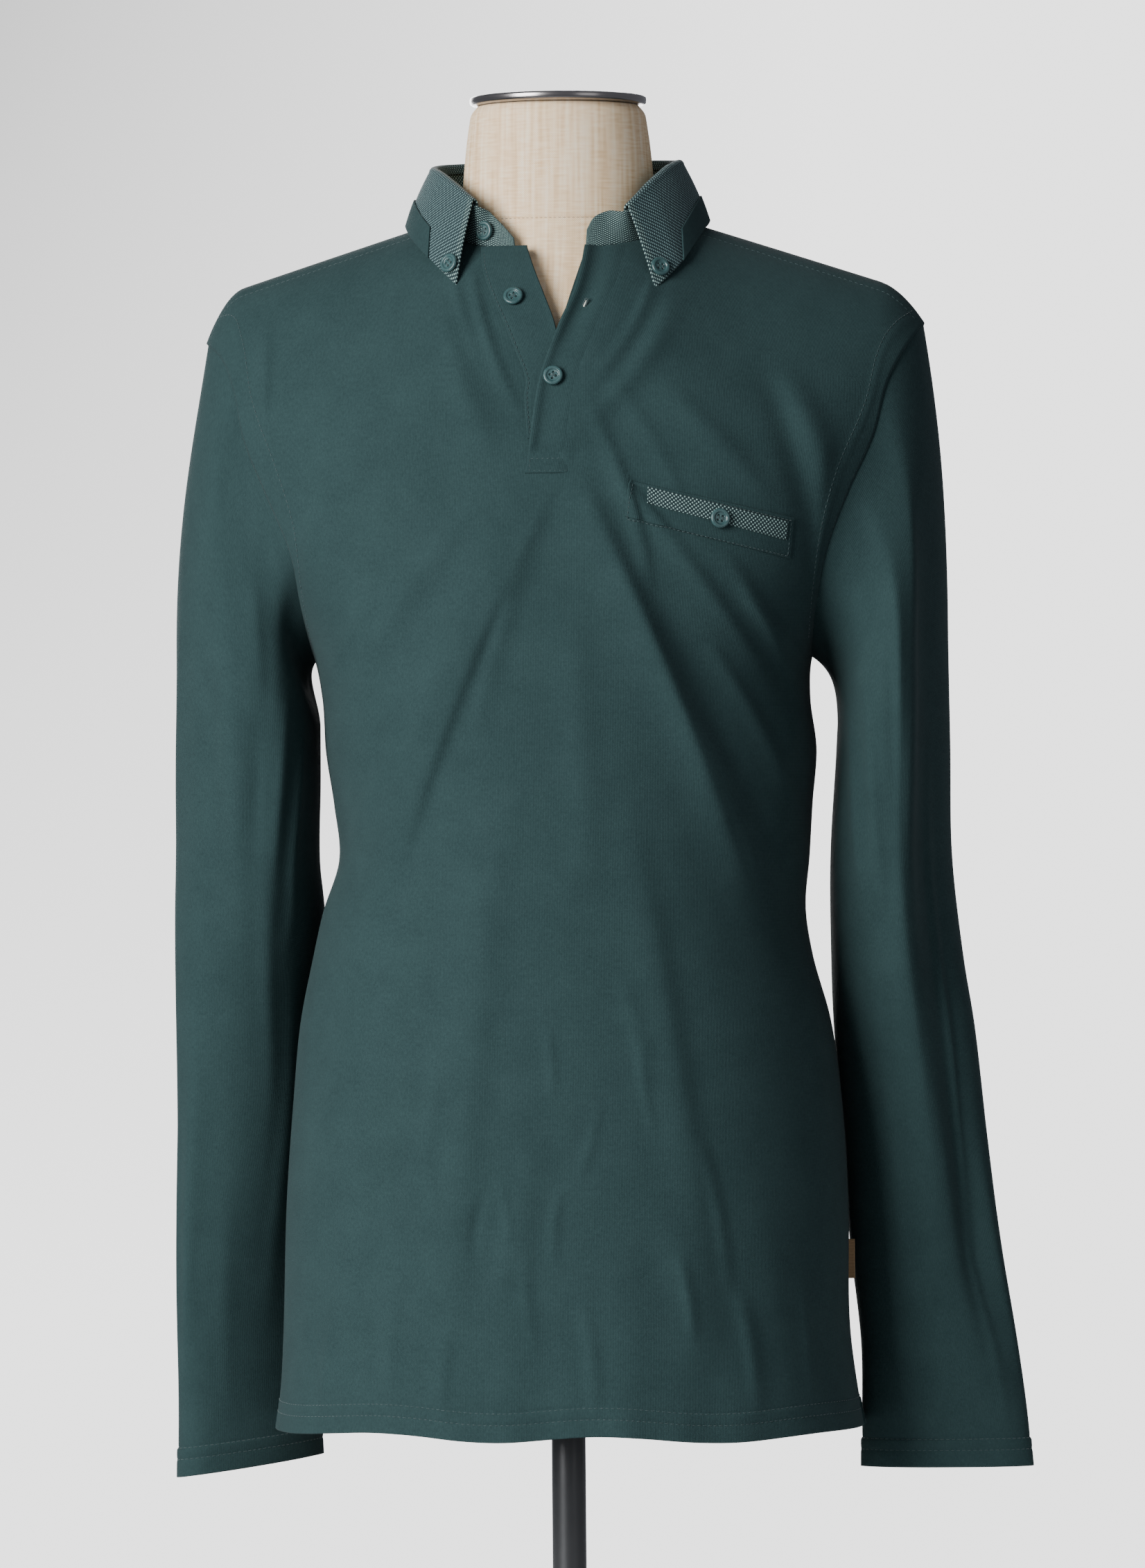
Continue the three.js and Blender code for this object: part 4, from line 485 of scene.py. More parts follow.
# Sections: height, outer and inner side from the front, middle and half-depth, lean of the inner side
SLEEVES = {-1: np.array([
    (120, 234, 153, 54, 31, 49), (160, 233, 153.5, 54, 33, 44), (259, 231.8, 154.5, 47, 37, 36),
    (347, 231, 152, 43, 42, 29), (410, 231, 149, 34, 47, 20), (454, 230.5, 144, 23, 52, 10),
    (486, 229.5, 145.3, 15, 57, 3), (535, 228.3, 143.6, 8, 65, 0), (585, 227, 143.4, 5, 72, 0),
    (640, 226.8, 144, 3, 75, 0)]), 1: np.array([
    (120, 270, 169.5, 33, 13, 0), (160, 267, 170, 34, 19, 4), (200, 262, 170, 32, 25, 6),
    (259, 253, 164, 30, 31, 9), (324, 245, 160.5, 28, 39, 10), (389, 237.9, 155.5, 22, 47, 10),
    (425, 232.4, 154.7, 17, 53, 6), (486, 226.5, 155.2, 9, 63, 0), (551, 226.2, 159.5, 4, 72, 0),
    (585, 225.8, 161, 3, 76, 0), (640, 225.2, 160, 2, 79, 0)])}
CUFF_Z, CUFF_TILT, UNDERARM_OUT = {-1: 128, 1: 128.5}, {-1: 5, 1: 0}, {-1: 0.7, 1: 1.0}
CAP_Z, CAP_SLANT = 588, 24
HEAD_TUCK, HEAD_REACH, HIDDEN_IN, HIDDEN_UNDER = 0.9, 0.38, 2.2, 0.5
# Folds: angle (0 outside, -90 front), drift, from z, to z, width in degrees, height
SLEEVE_FOLDS = {-1: np.array([
    (-62, -16, 700, 420, 10, 3.1), (-100, 14, 640, 470, 9, -3.1), (-40, 8, 420, 170, 11, 2.5),
    (70, 12, 690, 400, 12, 3.1), (110, -10, 600, 350, 11, 2.8), (20, 6, 560, 300, 12, 2),
    (-118, 22, 590, 440, 6, 2.5), (-140, 30, 570, 430, 6, 2.2), (-88, -12, 520, 330, 7, 1.5),
    (-24, 10, 640, 500, 9, 1.3), (-120, 12, 430, 200, 8, 2), (-70, -8, 300, 150, 8, 1.1),
    (150, -20, 560, 420, 7, 2), (-8, -6, 330, 160, 9, 1.1), (48, 10, 350, 160, 9, 1.4)]), 1: np.array([
    (-58, -20, 720, 380, 9, 3.6), (-96, 16, 650, 460, 9, -2.8), (-70, 10, 380, 170, 12, 2.5),
    (64, -14, 700, 420, 12, 3.1), (108, 12, 610, 340, 11, 2.8), (24, -8, 540, 280, 12, 2),
    (-34, -8, 560, 250, 5, 1.8), (-122, 26, 600, 450, 6, 2.5), (-142, 30, 580, 440, 6, 2.1),
    (-84, -10, 500, 340, 7, 1.4), (-112, 10, 420, 200, 8, 1.7), (-20, 10, 330, 150, 8, 1.3),
    (146, -22, 570, 430, 7, 2), (-48, 6, 300, 150, 6, 1.1), (60, 8, 350, 160, 9, 1.4)])}
# The pressed crease: angle, drift, from z, to z, width in degrees, height. The skew moves it sideways.
SLEEVE_CREST = {-1: (-92, -6, 760, 200, 16, 4.5), 1: (-89, 13, 800, 190, 12, 7.0)}
SLEEVE_SKEW = {-1: -13, 1: 2}
SLEEVE_PRESSED = {-1: 0, 1: 9}


def sleeve_lift(side, angle, z):
    """Soft folds by a bell curve in the angle, and one pressed crease in front with a pointed crest."""
    lift = np.zeros_like(z + angle)
    turn = np.degrees(np.arctan2(np.sin(angle), np.cos(angle)))
    for fold_angle, drift, from_z, to_z, wide, high in SLEEVE_FOLDS[side]:
        t = np.clip((from_z - z) / (from_z - to_z), 0, 1)
        off = (turn - fold_angle - drift * t) / wide
        lift = lift + high * np.sin(np.pi * t) * np.exp(-off * off)
    crest_angle, drift, from_z, to_z, wide, high = SLEEVE_CREST[side]
    t = np.clip((from_z - z) / (from_z - to_z), 0, 1)
    off = np.hypot((turn - crest_angle - drift * t) / wide, 0.12)
    return lift + high * smooth(5 * t) * smooth(1.6 * (1 - t)) * (np.exp(-off) - 0.35 * np.exp(-off / 3))


def sleeve_point(side, angle, z, lift):
    """Point on the arm at an angle and a height: a leaning ellipse, with its folds added to both radii."""
    table = SLEEVES[side]
    outer, inner, middle_y, depth, lean = (read(table, k, z) for k in range(1, 6))
    skew = SLEEVE_SKEW[side] * smooth((z - 180) / 200) * smooth((740 - z) / 120)
    pressed = SLEEVE_PRESSED[side] * smooth((z - 170) / 90) * smooth((770 - z) / 110)
    lift = lift - pressed * np.where(np.cos(angle) > 0, np.sin(2 * np.minimum(0, angle)) ** 2, 0)
    x = (outer + inner) / 2 + ((outer - inner) / 2 + lift) * np.cos(angle) + skew * np.maximum(0, -np.sin(angle)) ** 2
    y = middle_y + (depth + lift) * np.sin(angle - np.radians(lean))
    return np.stack((side * x, y, z + 0 * x), -1)


def unit(v):
    return v / np.maximum(np.linalg.norm(v, axis=-1, keepdims=True), 1e-9)


def lengths(line):
    """Distances along a line of points, from 0 at its start."""
    return np.concatenate(([0], np.cumsum(np.linalg.norm(np.diff(line, axis=0), axis=1))))


def read_line(line, run, at):
    """Rows of a line read at distances along it."""
    return np.stack([np.interp(at, run, column) for column in line.T], -1)


def armhole_line(side, facing, w=1.0):
    """Points of a panel at a column next to the armhole, from the shoulder tip down to the underarm."""
    t = np.linspace(1, 0, 160)
    tops = outline_top(facing)
    at = (side * w + 1) / 2 * (len(tops[0]) - 1)
    top_x, top_z = (np.interp(at, np.arange(len(v)), v) for v in tops)
    tip = TIP_X[side > 0]
    edge = width_at(ARMHOLE, side, mix(ARMPIT_Z, ridge(np.array(side * float(tip))), t))
    x = mix(side * edge * np.sin(np.pi / 2 * w), top_x * edge / tip, smooth(t))
    z = mix(ARMPIT_Z, top_z, t)
    return np.stack((x, body_y(facing, x, z), z), -1)


def sleeve(side, around, cap_rings, arm_rings):
    """Rings from the armhole to the cuff. The head is a cubic from each seam point: it leaves partly in the
    direction in which the body's cloth arrives, partly hanging down, and ends straight down on the arm."""
    angle = np.linspace(-np.pi, np.pi, around + 1)[:-1]
    seams, arrivals = [], []
    for facing in (-1, 1):
        line = armhole_line(side, facing)
        arrive = unit(line - armhole_line(side, facing, 1 - 2 / 28))
        length = lengths(line)
        share = np.abs(angle) / np.pi * length[-1]
        seams.append(read_line(line, length, share))
        arrivals.append(read_line(arrive, length, share))
    in_front = (angle < 0)[:, None]
    start = np.where(in_front, seams[0], seams[1])
    arrival = unit(np.where(in_front, arrivals[0], arrivals[1]))
    away = np.where(in_front, arrivals[0], arrivals[1])
    under = np.sin(angle / 2) ** 2
    hang_x, hang_y = side * mix(0.16, UNDERARM_OUT[side], under), 0.22 * np.sin(angle)
    hanging = unit(np.stack((hang_x, hang_y, -1 + 0.35 * under), -1))
    leave = unit(hanging + 0.9 * (np.sin(angle) ** 2)[:, None] * away)
    end = sleeve_point(side, angle, CAP_Z + CAP_SLANT * np.cos(angle), 0)
    reach = HEAD_REACH * np.linalg.norm(end - start, axis=1, keepdims=True)
    along = unit(np.roll(start, -1, 0) - np.roll(start, 1, 0))
    outwards = unit(np.cross(along, arrival)) * side
    outwards *= np.sign((outwards * np.array((side, 0, 0.2))).sum(1, keepdims=True) + 0.3)
    tucked = start - HEAD_TUCK * outwards
    first, second = tucked + leave * reach, end + np.array((0, 0, 1)) * reach
    t = (np.linspace(0, 1, cap_rings + 1) ** 1.25)[:, None, None]
    cap = ((1 - t) ** 3 * tucked + 3 * t * (1 - t) ** 2 * first + 3 * t * t * (1 - t) * second + t**3 * end)
    out = np.stack((side * np.cos(angle), np.sin(angle), 0 * angle), -1)
    cap = cap + out * (sleeve_lift(side, angle[None, :], cap[..., 2]) * smooth(1.4 * t[..., 0]))[..., None]
    hidden = (tucked - HIDDEN_IN * arrival - HIDDEN_UNDER * outwards)[None]
    share = np.linspace(0, 1, arm_rings + 1)[1:, None]
    length = CAP_Z - CUFF_Z[side]
    share = np.concatenate((share[share < 1 - 24 / length], 1 - HEM_ROWS[::-1] / length))[:, None]
    slant = CAP_SLANT * np.cos(angle) * (1 - smooth(share * 2))
    tilt = -CUFF_TILT[side] * np.cos(angle) * share**4
    z = mix(CAP_Z, CUFF_Z[side], share) + slant + tilt
    up = (1 - share) * length + 0 * z
    wave = 0.7 * np.exp(-up / 40) * (np.sin(3 * angle + side) + 0.6 * np.sin(5 * angle))
    arm = sleeve_point(side, angle, z, hem_lift(up, 0.8) + wave + sleeve_lift(side, angle, z))
    points = np.concatenate((hidden, cap, arm))
    down = np.concatenate(([0], np.cumsum(np.linalg.norm(np.diff(points, axis=0), axis=2).mean(1))))
    uv = np.stack(np.broadcast_arrays(np.linspace(-0.19, 0.19, around + 1)[None, :], -down[:, None] * 0.001), -1)
    if side > 0:
        points, uv = points[:, ::-1], uv[:, ::-1]
    return points, np.ascontiguousarray(uv)


sleeve_grids = {}
for side, word in ((-1, "left"), (1, "right")):
    points, uv = sleeve(side, around=120, cap_rings=56, arm_rings=128)
    sleeve_grids[side] = points
    arm = finish_piece(cloth_piece(f"sleeve_{word}_cloth", points, uv, closed=True), "jersey", jersey,
                       replaces=[f"sleeve_{word}"])

# Collar
# A stand sewn to the neckline, a leaf folded over it and buttoned down, both of dotted birdseye cotton, and
# a plain jersey band sewn along the leaf's outer edge. Turned edges make the layers round at their rims.

# The collar's folded top and its outer edge: distance to the side, y and z of each, front corner to back
COLLAR = {-1: np.array([
    (45, -60, 866, 54.2, -74, 818), (50, -53, 870, 62.5, -66.5, 826), (57, -41, 876, 71, -55.5, 834.5),
    (67, -21, 884, 82.5, -30, 847), (74, 3, 889, 88.5, 1, 857), (70, 27, 892, 82, 29, 854.5),
    (54, 47, 894, 61, 52, 849), (29, 58, 895, 31, 63.5, 847), (0, 61, 895.5, 0, 67, 846.5)]), 1: np.array([
    (44, -60, 862, 60.4, -73.5, 814.5), (50, -51, 869, 67.5, -67, 822), (57.5, -38, 878, 75, -57, 831),
    (66, -19, 887, 83, -31, 847), (71, 3, 891.5, 87, 1, 857.5), (67, 27, 893, 81, 29, 854.5),
    (52, 47, 894.5, 60, 52, 849), (28, 58, 895, 30, 63.5, 847), (0, 61, 895.5, 0, 67, 846.5)])}
STAND_ENDS = {-1: ((20.8, 845.5), (27.8, 853.8), (35, 861)), 1: ((19.6, 850), (24, 857.5), (32, 861))}
STAND_FOOT = ((45, -1), (54, -1), (61, -1), (66.5, -1), (67.6, 1), (62, 1), (45, 1), (24, 1), (0, 1))
COLLAR_THICK = 1.4


def curve_at(stations, at):
    """Catmull-Rom curve through rows of points, read at fractional row numbers."""
    stations = np.vstack((2 * stations[:1] - stations[1:2], stations, 2 * stations[-1:] - stations[-2:-1]))
    i = np.clip(np.floor(at).astype(int), 0, len(stations) - 4)
    t = (at - i)[..., None]
    a, b, c, d = (stations[i + k] for k in range(4))
    return 0.5 * (2 * b + (c - a) * t + (2 * a - 5 * b + 4 * c - d) * t**2 + (3 * b - a - 3 * c + d) * t**3)


def both_sides(left, right):
    """One line from the left front corner round the back to the right one."""
    return np.vstack((left, right[:-1][::-1]))


def collar_line(first):
    """The folded top (first = 0) or the outer edge (first = 3) as one line from left corner to right."""
    left, right = COLLAR[-1][:, first:first + 3].copy(), COLLAR[1][:, first:first + 3].copy()
    left[:, 0] *= -1
    return both_sides(left, right)


def normals_of(points):
    """Unit normals of a grid, from the cross product of its two directions."""
    return unit(np.cross(np.gradient(points, axis=1), np.gradient(points, axis=0)))


def spaced(count, length, rim=0.9):
    """Places from 0 to 1 with more of them within the rounded rim at each end."""
    near = np.array([0, 0.06, 0.2, 0.45, 0.8]) * rim / length
    return np.concatenate((near, np.linspace(near[-1], 1 - near[-1], count)[1:-1], 1 - near[::-1]))


def layered_piece(name, middle, thick, rim):
    """A strip of turned cloth: two grids on both sides of its middle, sqrt-rounded together at the rims."""
    step_c = np.linalg.norm(np.diff(middle, axis=1), axis=2)
    step_r = np.linalg.norm(np.diff(middle, axis=0), axis=2)
    in_c = np.concatenate((np.zeros((len(middle), 1)), np.cumsum(step_c, 1)), 1)
    in_r = np.concatenate((np.zeros((1, middle.shape[1])), np.cumsum(step_r, 0)), 0)
    near = np.minimum(np.minimum(in_c, in_c[:, -1:] - in_c), np.minimum(in_r, in_r[-1:] - in_r))
    share = np.clip(near / rim, 0, 1)
    half = (thick / 2 * np.sqrt(1 - (1 - share) ** 2))[..., None]
    normal = normals_of(middle)
    outer, inner = middle + normal * half, middle - normal * half
    rows, columns = middle.shape[:2]
    faces, corners = grid_faces(rows, columns)
    number = np.arange(rows * columns).reshape(rows, columns)
    other = number + rows * columns
    for edge in (np.s_[0], np.s_[-1], np.s_[:, 0], np.s_[:, -1]):
        other[edge] = number[edge]
    back_faces = other.ravel()[faces][:, ::-1]
    points = np.concatenate((outer.reshape(-1, 3), inner.reshape(-1, 3)))
    all_faces = np.concatenate((faces, back_faces))
    used, renumbered = np.unique(all_faces, return_inverse=True)
    flat_uv = strip_uv(middle).reshape(-1, 2)
    all_uv = np.concatenate((flat_uv[corners.ravel()], flat_uv[corners[:, ::-1].ravel()]))
    return mesh_piece(name, points[used], renumbered.reshape(-1, 4), all_uv)


def strip_uv(points):
    """Lengths along the rows' middle line and across, in metres, so that a weave follows the strip."""
    u, v = lengths(points[len(points) // 2]), lengths(points[:, points.shape[1] // 2])
    return np.dstack(np.meshgrid(u, v)) * 0.001


def strip_piece(name, middle, thick, rim, slot, material, node_name):
    """A layered piece finished in the place of one node."""
    return finish_piece(layered_piece(name, middle, thick, rim), slot, material, replaces=[node_name])


# Birdseye: pale dots in staggered rows on a dark ground
birdseye, dot_in, dot_out = new_group(
    "birdseye dots", [("Cloth", "Vector"), ("Pitch", "Float")], [("Dots", "Float"), ("Height", "Float")])
lattice = wire(birdseye, "VectorMath", {"operation": "DIVIDE"}, n0=dot_in["Cloth"],
               n1=wire(birdseye, "CombineXYZ", X=dot_in["Pitch"], Y=dot_in["Pitch"], Z=1.0).outputs[0])
spots = []
for shift in (0.0, 0.5):
    moved = wire(birdseye, "VectorMath", {"operation": "ADD"}, n0=lattice.outputs[0], n1=(shift, shift, 0))
    cell = wire(birdseye, "VectorMath", {"operation": "FRACTION"}, n0=moved.outputs[0])
    offset = wire(birdseye, "VectorMath", {"operation": "SUBTRACT"}, n0=cell.outputs[0], n1=(0.5, 0.5, 0))
    flat = wire(birdseye, "VectorMath", {"operation": "MULTIPLY"}, n0=offset.outputs[0], n1=(1, 1, 0))
    far = wire(birdseye, "VectorMath", {"operation": "LENGTH"}, n0=flat.outputs[0])
    spots.append(wire(birdseye, "MapRange", {"interpolation_type": "SMOOTHSTEP"}, Value=far.outputs["Value"],
                      From_Min=0.27, From_Max=0.13).outputs[0])
dots = maths(birdseye, "MAXIMUM", *spots)
birdseye.links.new(dots, dot_out["Dots"])
birdseye.links.new(dots, dot_out["Height"])


def dotted_material(name, dark, mint, pitch=0.0024):
    """Birdseye cotton: the dots are raised mint threads, uneven in brightness, on a near-black green."""
    material, tree, shader = new_material(
        name, 0.8, Sheen_Weight=0.12, Sheen_Roughness=0.4, Specular_IOR_Level=0.25)
    place = wire(tree, "UVMap", {"uv_map": "cloth"})
    weave = wire(tree, "Group", {"node_tree": birdseye}, Cloth=place.outputs[0], Pitch=pitch)
    uneven = wire(tree, "TexNoise", Vector=place.outputs[0], Scale=700.0, Detail=2.0)
    strength = wire(tree, "MapRange", Value=uneven.outputs["Fac"], From_Min=0.25, From_Max=0.7, To_Min=0.55,
                    To_Max=1.0)
    share = maths(tree, "MULTIPLY", weave.outputs["Dots"], strength.outputs[0])
    tree.links.new(blend(tree, share, dark, mint).outputs[2], shader.inputs["Base Color"])
    add_bump(tree, shader, weave.outputs["Height"], 0.6, 0.0003)
    return material


# MINT_DIM is the dimmer mint of the leaf's dots over its fall; MINT is the full one
MINT, MINT_DIM, UNDER_MINT = (0.33, 0.49, 0.45, 1), (0.21, 0.34, 0.34, 1), (0.009, 0.023, 0.027, 1)
dotted = dotted_material("dotted cotton", UNDER_MINT, MINT)


def neck_point(side, x, facing):
    z = neck_height(facing, x)
    return np.array((side * x, float(body_y(facing, np.array(side * float(x)), z)), float(z) - 0.7))


def stand_side(side):
    """Foot and top of the stand at its stations: the round front end, then under the leaf's fold."""
    foot, top = [], []
    for x, z in STAND_ENDS[side]:
        foot.append(neck_point(side, x, -1))
        top.append((foot[-1][0] * 1.03, foot[-1][1] + (z - foot[-1][2]) * 0.12, z))
    for (x, facing), (fold_x, fold_y, fold_z) in zip(STAND_FOOT, COLLAR[side][:, :3]):
        foot.append(neck_point(side, x, facing))
        shrink = 1 - 2.6 / np.hypot(fold_x, fold_y)
        top.append((side * fold_x * shrink, fold_y * shrink, fold_z - 1.0))
    return np.array(foot), np.array(top)


(foot_left, top_left), (foot_right, top_right) = stand_side(-1), stand_side(1)
stand_foot, stand_top = both_sides(foot_left, foot_right), both_sides(top_left, top_right)
along = spaced(150, 330) * (len(stand_foot) - 1)
share = spaced(14, 34)[:, None, None]
stand = mix(curve_at(stand_foot, along)[None], curve_at(stand_top, along)[None], share)
stand -= normals_of(stand) * (COLLAR_THICK / 2)
collar_stand = strip_piece("collar_stand_cloth", stand, COLLAR_THICK, 0.7, "dotted", dotted, "collar_stand")


def leaf_grid(at, down):
    """The leaf's middle layer. Its profile is a half circle over the fold, with a short tail inside, and then
    a line to the outer edge that bows out by half a sine."""
    fold, edge = curve_at(collar_line(0), at), curve_at(collar_line(3), at)
    out = unit(fold * np.array((1, 1, 0)))
    up = np.array((0, 0, 1.0))
    radius, tail = 2.4, 3.0
    centre = fold - 0.85 * out - 0.4 * up
    arc = np.pi * radius
    fall = np.linalg.norm(edge - (centre + radius * out), axis=1)
    total = tail + arc + fall
    s = down[:, None] * total[None, :]
    turn = np.clip((s - tail) / radius, 0, np.pi)[..., None]
    over = centre + radius * (-np.cos(turn) * out + np.sin(turn) * up)
    over = over - np.maximum(0, tail - s)[..., None] * (up + 0.25 * out)
    t = np.clip((s - tail - arc) / fall, 0, 1)[..., None]
    return over + (edge - (centre + radius * out)) * t + out * (1.1 * np.sin(np.pi * t))


leaf_at = spaced(190, 400) * 16
leaf_down = spaced(46, 58)
leaf = leaf_grid(leaf_at, leaf_down)
leaf_n = normals_of(leaf)
leaf_up = leaf[::-1]
leaf_piece = layered_piece("collar_leaf_cloth", leaf_up, COLLAR_THICK, 0.7)

# The leaf's dots are dimmer over its fall and bright at its turned front edge and in its tips
dotted_leaf = dotted_material("dotted leaf cotton", UNDER_MINT, MINT_DIM)
tree = dotted_leaf.node_tree
rim_at = wire(tree, "SeparateXYZ", Vector=wire(tree, "UVMap", {"uv_map": "rim"}).outputs[0])
at_front, at_tip = (
    wire(tree, "MapRange", {"interpolation_type": "SMOOTHSTEP"}, Value=rim_at.outputs[axis], From_Min=near,
         From_Max=far, To_Min=most, To_Max=0.0).outputs[0]
    for axis, near, far, most in (("X", 0.0035, 0.0055, 1.0), ("Y", 0.008, 0.026, 0.9)))
brighter = blend(tree, maths(tree, "MAXIMUM", at_front, at_tip), MINT_DIM, MINT)
dots_over = next(n for n in tree.nodes if n.bl_idname == "ShaderNodeMix" and n != brighter)
tree.links.new(brighter.outputs[2], dots_over.inputs[7])
run = np.array([lengths(row) for row in leaf_up])
from_front = np.minimum(run, run[:, -1:] - run)
tips = [np.linalg.norm(leaf_up - leaf_up[0, c], axis=2) for c in (0, -1)]
rim = np.dstack((from_front, np.minimum(*tips))).reshape(-1, 2) * 0.001
_, corners = grid_faces(*leaf_up.shape[:2])
layer = leaf_piece.data.uv_layers.new(name="rim")
both_layers = np.concatenate((rim[corners.ravel()], rim[corners[:, ::-1].ravel()]))
layer.data.foreach_set("uv", both_layers.astype(np.float32).ravel())
collar_leaf = finish_piece(leaf_piece, "dotted", dotted_leaf, replaces=["collar_leaf"])

BAND_WIDE, BAND_FIRST, BAND_SLANT, BAND_OUT = 16, 2.0, 0.33, 1.25
band_across = spaced(12, BAND_WIDE)[:, None]
band_along = spaced(170, 300)[None, :]
band_at = mix(BAND_FIRST + BAND_SLANT * band_across, 16 - BAND_FIRST - BAND_SLANT * band_across, band_along)
above_leaf = leaf + leaf_n * BAND_OUT
by_column = []
for c in range(leaf.shape[1]):
    run = lengths(leaf[:, c])
    by_column.append(read_line(above_leaf[:, c], run - run[-1], -BAND_WIDE * band_across[:, 0]))
by_column = np.stack(by_column, 1)
band = np.stack([read_line(by_column[r], leaf_at, band_at[r]) for r in range(len(band_at))])
collar_band = strip_piece("collar_band_cloth", band, 1.1, 0.6, "jersey", jersey, "collar_edge_band")

# Placket
# Two strips at the slit of the front. The under strip carries the buttons, and the over strip laps on it
# below the open neck and is closed with a stitched box.

PLACKET_WIDE, PLACKET_TOP, UNDER_FOOT, OVER_FOOT = 27, 841, 727.5, 707.5
BOX_LINES = (708.9, 716)


def on_panel(facing, x, z, out):
    """Points on a panel's outer face at x and z, moved out along its normal."""
    step = 0.5
    here = np.stack((x, panel_y(facing, x, z), z), -1)
    across = np.stack((0 * x + 2 * step, panel_y(facing, x + step, z) - panel_y(facing, x - step, z), 0 * x), -1)
    up = np.stack((0 * x, panel_y(facing, x, z + step) - panel_y(facing, x, z - step), 0 * x + 2 * step), -1)
    return here - facing * unit(np.cross(across, up)) * np.asarray(out)[..., None]


def on_front(x, z, out):
    return on_panel(-1, x, z, out)


def beside_slit(x, z, lift):
    """Points lifted off the front as it would be without its rise up to the over placket."""
    return on_front(x, z, 0 * x) + np.stack((0 * x, placket_rise(x, z) - lift, 0 * x), -1)


def placket(bottom, top, left, right, lift, rows=96, columns=26):
    """A strip between two lines of x by height, lifted off the smooth front by a function of x and height."""
    z = mix(bottom, top, spaced(rows, top - bottom))[:, None]
    x = mix(left(z), right(z), spaced(columns, PLACKET_WIDE)[None, :])
    z = z + 0 * x
    return beside_slit(x, z, lift(x, z))


def under_lift(x, z):
    """Height of the under placket, with a dent along its outer line and a soft rise at its free edge."""
    edge = read(PLACKET, 2, z)
    return 1.35 + groove(x - edge - 1.7, 0.6, 0.3) + 0.5 * np.exp(-(((x - read(PLACKET, 3, z)) / 2.2) ** 2))


def over_lift(x, z):
    """Height of the over placket: that of the front's rise, flatter to the right, with the box's two dents."""
    away = x - read(PLACKET, 1, z)
    lift = placket_top(x, z) + 0.25 - 0.85 * smooth((away - 17) / 10) - 0.7
    return lift + groove(z - BOX_LINES[0], 0.7, 0.25) + groove(z - BOX_LINES[1], 0.7, 0.25)


under_grid = placket(UNDER_FOOT, PLACKET_TOP, lambda z: read(PLACKET, 2, z),
                     lambda z: np.minimum(read(PLACKET, 3, z), read(PLACKET, 1, z) + 15), under_lift)
under = strip_piece("placket_under_cloth", under_grid, 1.4, 0.7, "jersey", jersey, "placket_under")
over_grid = placket(OVER_FOOT, PLACKET_TOP, lambda z: read(PLACKET, 1, z),
                    lambda z: read(PLACKET, 1, z) + PLACKET_WIDE, over_lift)
over = strip_piece("placket_over_cloth", over_grid, 1.4, 0.7, "jersey", jersey, "placket_over")

# Chest pocket
# A plain welt let into the wearer's left chest, topstitched all round, with a strip of the dotted cotton
# inside it and a button at the strip's middle.

# Corners as x and z: bottom left, bottom right, top left, top right
WELT = ((44.9, 682.3), (137.4, 658), (47.3, 702.6), (139.8, 681.4))
STRIP = ((57.2, 689.4), (134.9, 668.8), (57.9, 699), (136, 679.4))


def patch(corners, rows, columns, lift):
    """Bilinear patch between four corners on the front, lifted by a function of the share of its height."""
    (a, b, c, d) = (np.array(p, float) for p in corners)
    s, t = spaced(columns, 80)[None, :, None], spaced(rows, 18)[:, None, None]
    flat = mix(mix(a, b, s), mix(c, d, s), t)
    return on_front(flat[..., 0], flat[..., 1], lift(t[..., 0]) + 0 * flat[..., 0])




def welt_lift(t):
    """A groove along each long side and a raised upper edge. The welt is 20 mm high."""
    up, down = t * 20, (1 - t) * 20
    return (0.45 + groove(up - 1.8, 0.7, 0.25) + groove(down - 1.6, 0.7, 0.25)
            + 0.7 * (1 - smooth((down - 0.9) / 0.5)))


welt_grid = patch(WELT, 26, 90, welt_lift)
welt = strip_piece("pocket_welt_cloth", welt_grid, 0.9, 0.6, "jersey", jersey, "pocket_welt")
strip_grid = patch(STRIP, 16, 90, lambda t: 1.35)
strip = strip_piece("pocket_strip_cloth", strip_grid, 0.8, 0.5, "dotted", dotted, "pocket_strip")

# Buttons
# Dyed green plastic, 11.4 mm across, with a rounded rim, a dished middle and four holes sewn crosswise.

BUTTON_R, BUTTON_THICK, HOLE_OUT = 5.7, 2.2, 1.25
THREAD_R, THREAD_APART, THREAD_Z, THREAD_SAG = 0.2, 0.16, 1.05, 0.5
button_green, tree, shader = new_material(
    "green button", 0.32, Specular_IOR_Level=0.5, Coat_Weight=0.15, Coat_Roughness=0.2)
swirl = object_noise(tree, 420.0, 3.0, Distortion=1.5)
ramp_colour(tree, shader, swirl, (0.022, 0.060, 0.062), (0.036, 0.086, 0.088), (0.3, 0.7))
vary_roughness(tree, shader, swirl, 0.26, 0.42)
thread_dark, tree, shader = new_material("sewing thread", 0.7, Sheen_Weight=0.3)
place = wire(tree, "TexCoord")
ply = wire(tree, "TexWave", {"bands_direction": "DIAGONAL"}, Vector=place.outputs["Object"], Scale=900.0,
           Distortion=2.0)
ramp_colour(tree, shader, ply.outputs["Fac"], (0.010, 0.026, 0.028), (0.030, 0.066, 0.068))


def joined(sets):
    """Points and faces of several meshes as one mesh."""
    points, faces = zip(*sets)
    starts = np.cumsum([0] + [len(p) for p in points[:-1]])
    return np.concatenate(points), np.concatenate([f + start for f, start in zip(faces, starts)])


